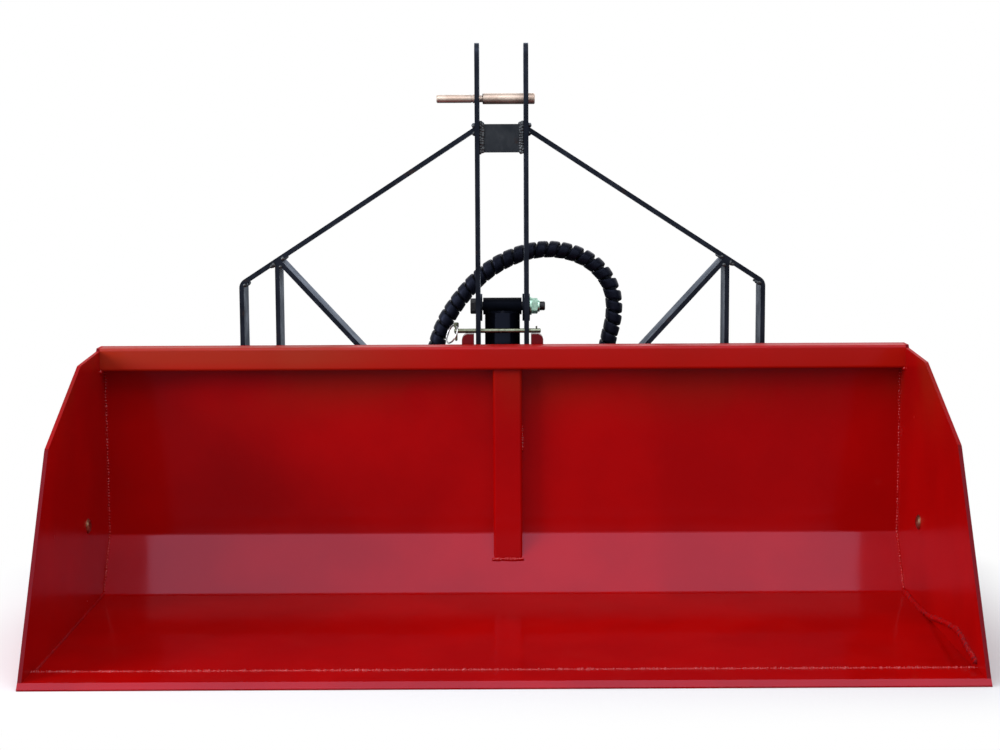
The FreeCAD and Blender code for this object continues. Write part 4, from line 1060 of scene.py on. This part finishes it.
class RunningFrames:
    """A frame carried along a line without twist."""

    def __init__(self, line: Sequence[Vector]) -> None:
        """Measures the line and carries a side vector along it.

        Args:
            line: The line's points.
        """
        self.line = list(line)
        self.marks = [0.0]
        for a, b in zip(self.line, self.line[1:]):
            self.marks.append(self.marks[-1] + (b - a).length)
        self.length = self.marks[-1]
        self.ways = []
        for i in range(len(self.line)):
            a, b = self.line[max(i - 1, 0)], self.line[min(i + 1, len(self.line) - 1)]
            self.ways.append((b - a).normalized())
        side = self.ways[0].orthogonal().normalized()
        self.sides = [side]
        for before, after in zip(self.ways, self.ways[1:]):
            side = before.rotation_difference(after) @ side
            self.sides.append((side - after * side.dot(after)).normalized())

    def locate(self, along: float) -> tuple[int, float]:
        """Finds the run of the line that holds a length along it.

        Args:
            along: The length along the line.

        Returns:
            The index of the run's first point and the share of the run before the place.
        """
        along = min(max(along, 0.0), self.length)
        low = min(bisect.bisect_right(self.marks, along), len(self.marks) - 1) - 1
        return low, (along - self.marks[low]) / max(self.marks[low + 1] - self.marks[low], 1e-9)

    def way(self, along: float) -> Vector:
        """The line's direction at a length along it.

        Args:
            along: The length along the line.

        Returns:
            The direction, of length 1.
        """
        low, part = self.locate(along)
        return self.ways[low].lerp(self.ways[low + 1], part).normalized()

    def bend(self, along: float, reach: float = 0.014) -> Vector:
        """How sharply and which way the line bends.

        Args:
            along: The length along the line.
            reach: The length on each side over which the bend is taken.

        Returns:
            A vector towards the bend's centre, as long as one over its radius.
        """
        return (self.way(along + reach) - self.way(along - reach)) / (2 * reach)

    def point(self, along: float, angle: float, radius: float) -> Vector:
        """A point round the line.

        Args:
            along: The length along the line.
            angle: The angle round it.
            radius: The distance from it.

        Returns:
            The point.
        """
        low, part = self.locate(along)
        centre = self.line[low].lerp(self.line[low + 1], part)
        way = self.way(along)
        side = self.sides[low].lerp(self.sides[low + 1], part)
        side = (side - way * side.dot(way)).normalized()
        return centre + Quaternion(way, angle) @ side * radius


def recalculate_normals(piece: bpy.types.Object) -> None:
    """Turns a closed mesh's faces outwards.

    Args:
        piece: The mesh object.
    """
    work = bmesh.new()
    work.from_mesh(piece.data)
    bmesh.ops.recalc_face_normals(work, faces=work.faces)
    work.to_mesh(piece.data)
    work.free()


# Studio


@dataclass
class Studio:
    """The pale floor, the white surround and the soft light."""

    floor_size: float = 9.0
    floor_level: float = -0.0003
    lamp_colour: Colour = (0.96, 0.95, 1.0)
    clear_half: tuple[float, float] = (0.72, 0.36)
    fade: float = 0.24
    surround: float = 0.56

    def build(self) -> None:
        """Makes the floor, the world and the lamps."""
        self.lay_floor()
        self.light_world()
        self.add_lamp("sky_panel", (0.0, -1.75, 3.2), (0.0, 0.0, 0.2), (3.9, 1.8), 45.0)
        self.add_lamp("left_panel", (-3.4, -1.7, 1.7), (0.1, 0.1, 0.3), (1.8, 1.8), 105.0)
        self.add_lamp("right_panel", (3.0, -1.2, 1.8), (0.0, 0.1, 0.3), (1.4, 1.6), 4.0)
        self.add_lamp("back_panel", (0.6, 3.0, 2.2), (0.0, 0.3, 0.5), (2.4, 1.6), 24.0)

    def lay_floor(self) -> None:
        """A floor that fades to white away from the object."""
        half = self.floor_size / 2
        corners = [(-half, -half), (half, -half), (half, half), (-half, half)]
        points = [(x, y, self.floor_level) for x, y in corners]
        floor = mesh_object("floor", points, [], [(0, 1, 2, 3)])
        bench = MaterialBench("pale_floor")
        gaps = [
            (bench.axis_place(axis).maths("ABSOLUTE") - clear).maths("MAXIMUM", 0.0)
            for axis, clear in zip("XY", self.clear_half)
        ]
        away = (gaps[0] * gaps[0] + gaps[1] * gaps[1]).maths("SQRT").between(0.0, self.fade)
        path = bench.node("ShaderNodeLightPath").outputs
        seen = Signal(bench, path["Is Camera Ray"])
        colour = bench.blend(seen, (0.13, 0.13, 0.13), (0.90, 0.90, 0.90))
        bench.surface(base_color=colour, roughness=0.9, specular_ior_level=0.0)
        glow = bench.node("ShaderNodeEmission", values={"Color": (1, 1, 1, 1), "Strength": 1.0})
        mix = bench.node(
            "ShaderNodeMixShader",
            values={0: seen * away, 1: bench.shader.outputs[0], 2: glow.outputs[0]},
        )
        output = next(n for n in bench.tree.nodes if n.bl_idname == "ShaderNodeOutputMaterial")
        bench.tree.links.new(mix.outputs[0], output.inputs["Surface"])
        floor.data.materials.append(bench.material)

    def light_world(self) -> None:
        """A white surround to the camera and in reflections, and a plain level of light."""
        world = bpy.data.worlds.new("surround")
        world.use_nodes = True
        tree = world.node_tree
        tree.nodes.clear()
        path = tree.nodes.new("ShaderNodeLightPath").outputs
        seen = path["Is Camera Ray"]
        for kind in ("Is Glossy Ray", "Is Transmission Ray"):
            either = tree.nodes.new("ShaderNodeMath")
            either.operation = "ADD"
            either.use_clamp = True
            tree.links.new(seen, either.inputs[0])
            tree.links.new(path[kind], either.inputs[1])
            seen = either.outputs[0]
        light = tree.nodes.new("ShaderNodeBackground")
        light.inputs["Color"].default_value = (0.93, 0.96, 1.0, 1.0)
        light.inputs["Strength"].default_value = self.surround
        white = tree.nodes.new("ShaderNodeBackground")
        white.inputs["Color"].default_value = (1.0, 1.0, 1.0, 1.0)
        mix = tree.nodes.new("ShaderNodeMixShader")
        tree.links.new(seen, mix.inputs[0])
        tree.links.new(light.outputs[0], mix.inputs[1])
        tree.links.new(white.outputs[0], mix.inputs[2])
        output = tree.nodes.new("ShaderNodeOutputWorld")
        tree.links.new(mix.outputs[0], output.inputs["Surface"])
        bpy.context.scene.world = world

    def add_lamp(
        self, name: str, place: Point, target: Point, size: tuple[float, float], power: float
    ) -> None:
        """A soft panel lamp that faces a target.

        Args:
            name: The lamp's name.
            place: Where it stands.
            target: What it faces.
            size: Its width and height.
            power: Its power in watts.
        """
        data = bpy.data.lights.new(name, "AREA")
        data.shape = "RECTANGLE"
        data.size, data.size_y = size
        data.energy = power
        data.color = self.lamp_colour
        lamp = bpy.data.objects.new(name, data)
        bpy.context.scene.collection.objects.link(lamp)
        way = Vector(target) - Vector(place)
        lamp.location = place
        lamp.rotation_euler = way.to_track_quat("-Z", "Y").to_euler()


@dataclass
class PhotographerCamera:
    """The camera at the photograph's place."""

    place: Point = (0.0, -3.091, 0.773)
    pitch_down: float = 6.77
    roll: float = -0.27
    focal_pixels: float = 1928.0
    image_width: float = 1000.0
    middle: float = 502.7

    def build(self) -> None:
        """Makes the camera and gives it to the scene."""
        data = bpy.data.cameras.new("camera")
        data.sensor_width = 36.0
        data.lens = 36.0 * self.focal_pixels / self.image_width
        data.shift_x = (self.image_width / 2 - self.middle) / self.image_width
        data.clip_end = 100.0
        camera = bpy.data.objects.new("camera", data)
        tilt = Matrix.Rotation(math.radians(90.0 - self.pitch_down), 4, "X")
        turn = Matrix.Rotation(math.radians(self.roll), 4, "Z")
        camera.matrix_world = Matrix.Translation(self.place) @ tilt @ turn
        bpy.context.scene.collection.objects.link(camera)
        bpy.context.scene.camera = camera


def main() -> None:
    """Builds the whole scene."""
    logging.basicConfig(level=logging.INFO, format="%(message)s")
    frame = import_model()
    nodes = frame["nodes"]
    rack = FinishRack()
    shop = WeldShop(rack)
    for assembly in (
        Bucket(rack, shop), HitchFrame(rack, shop), TippingCylinder(rack), PulledPins(rack),
        HydraulicHose(rack),
    ):
        assembly.build(nodes)
        LOG.info("built %s", type(assembly).__name__)
    Studio().build()
    PhotographerCamera().build()
    bpy.context.scene.view_settings.view_transform = "Standard"


if __name__ == "__main__":
    main()
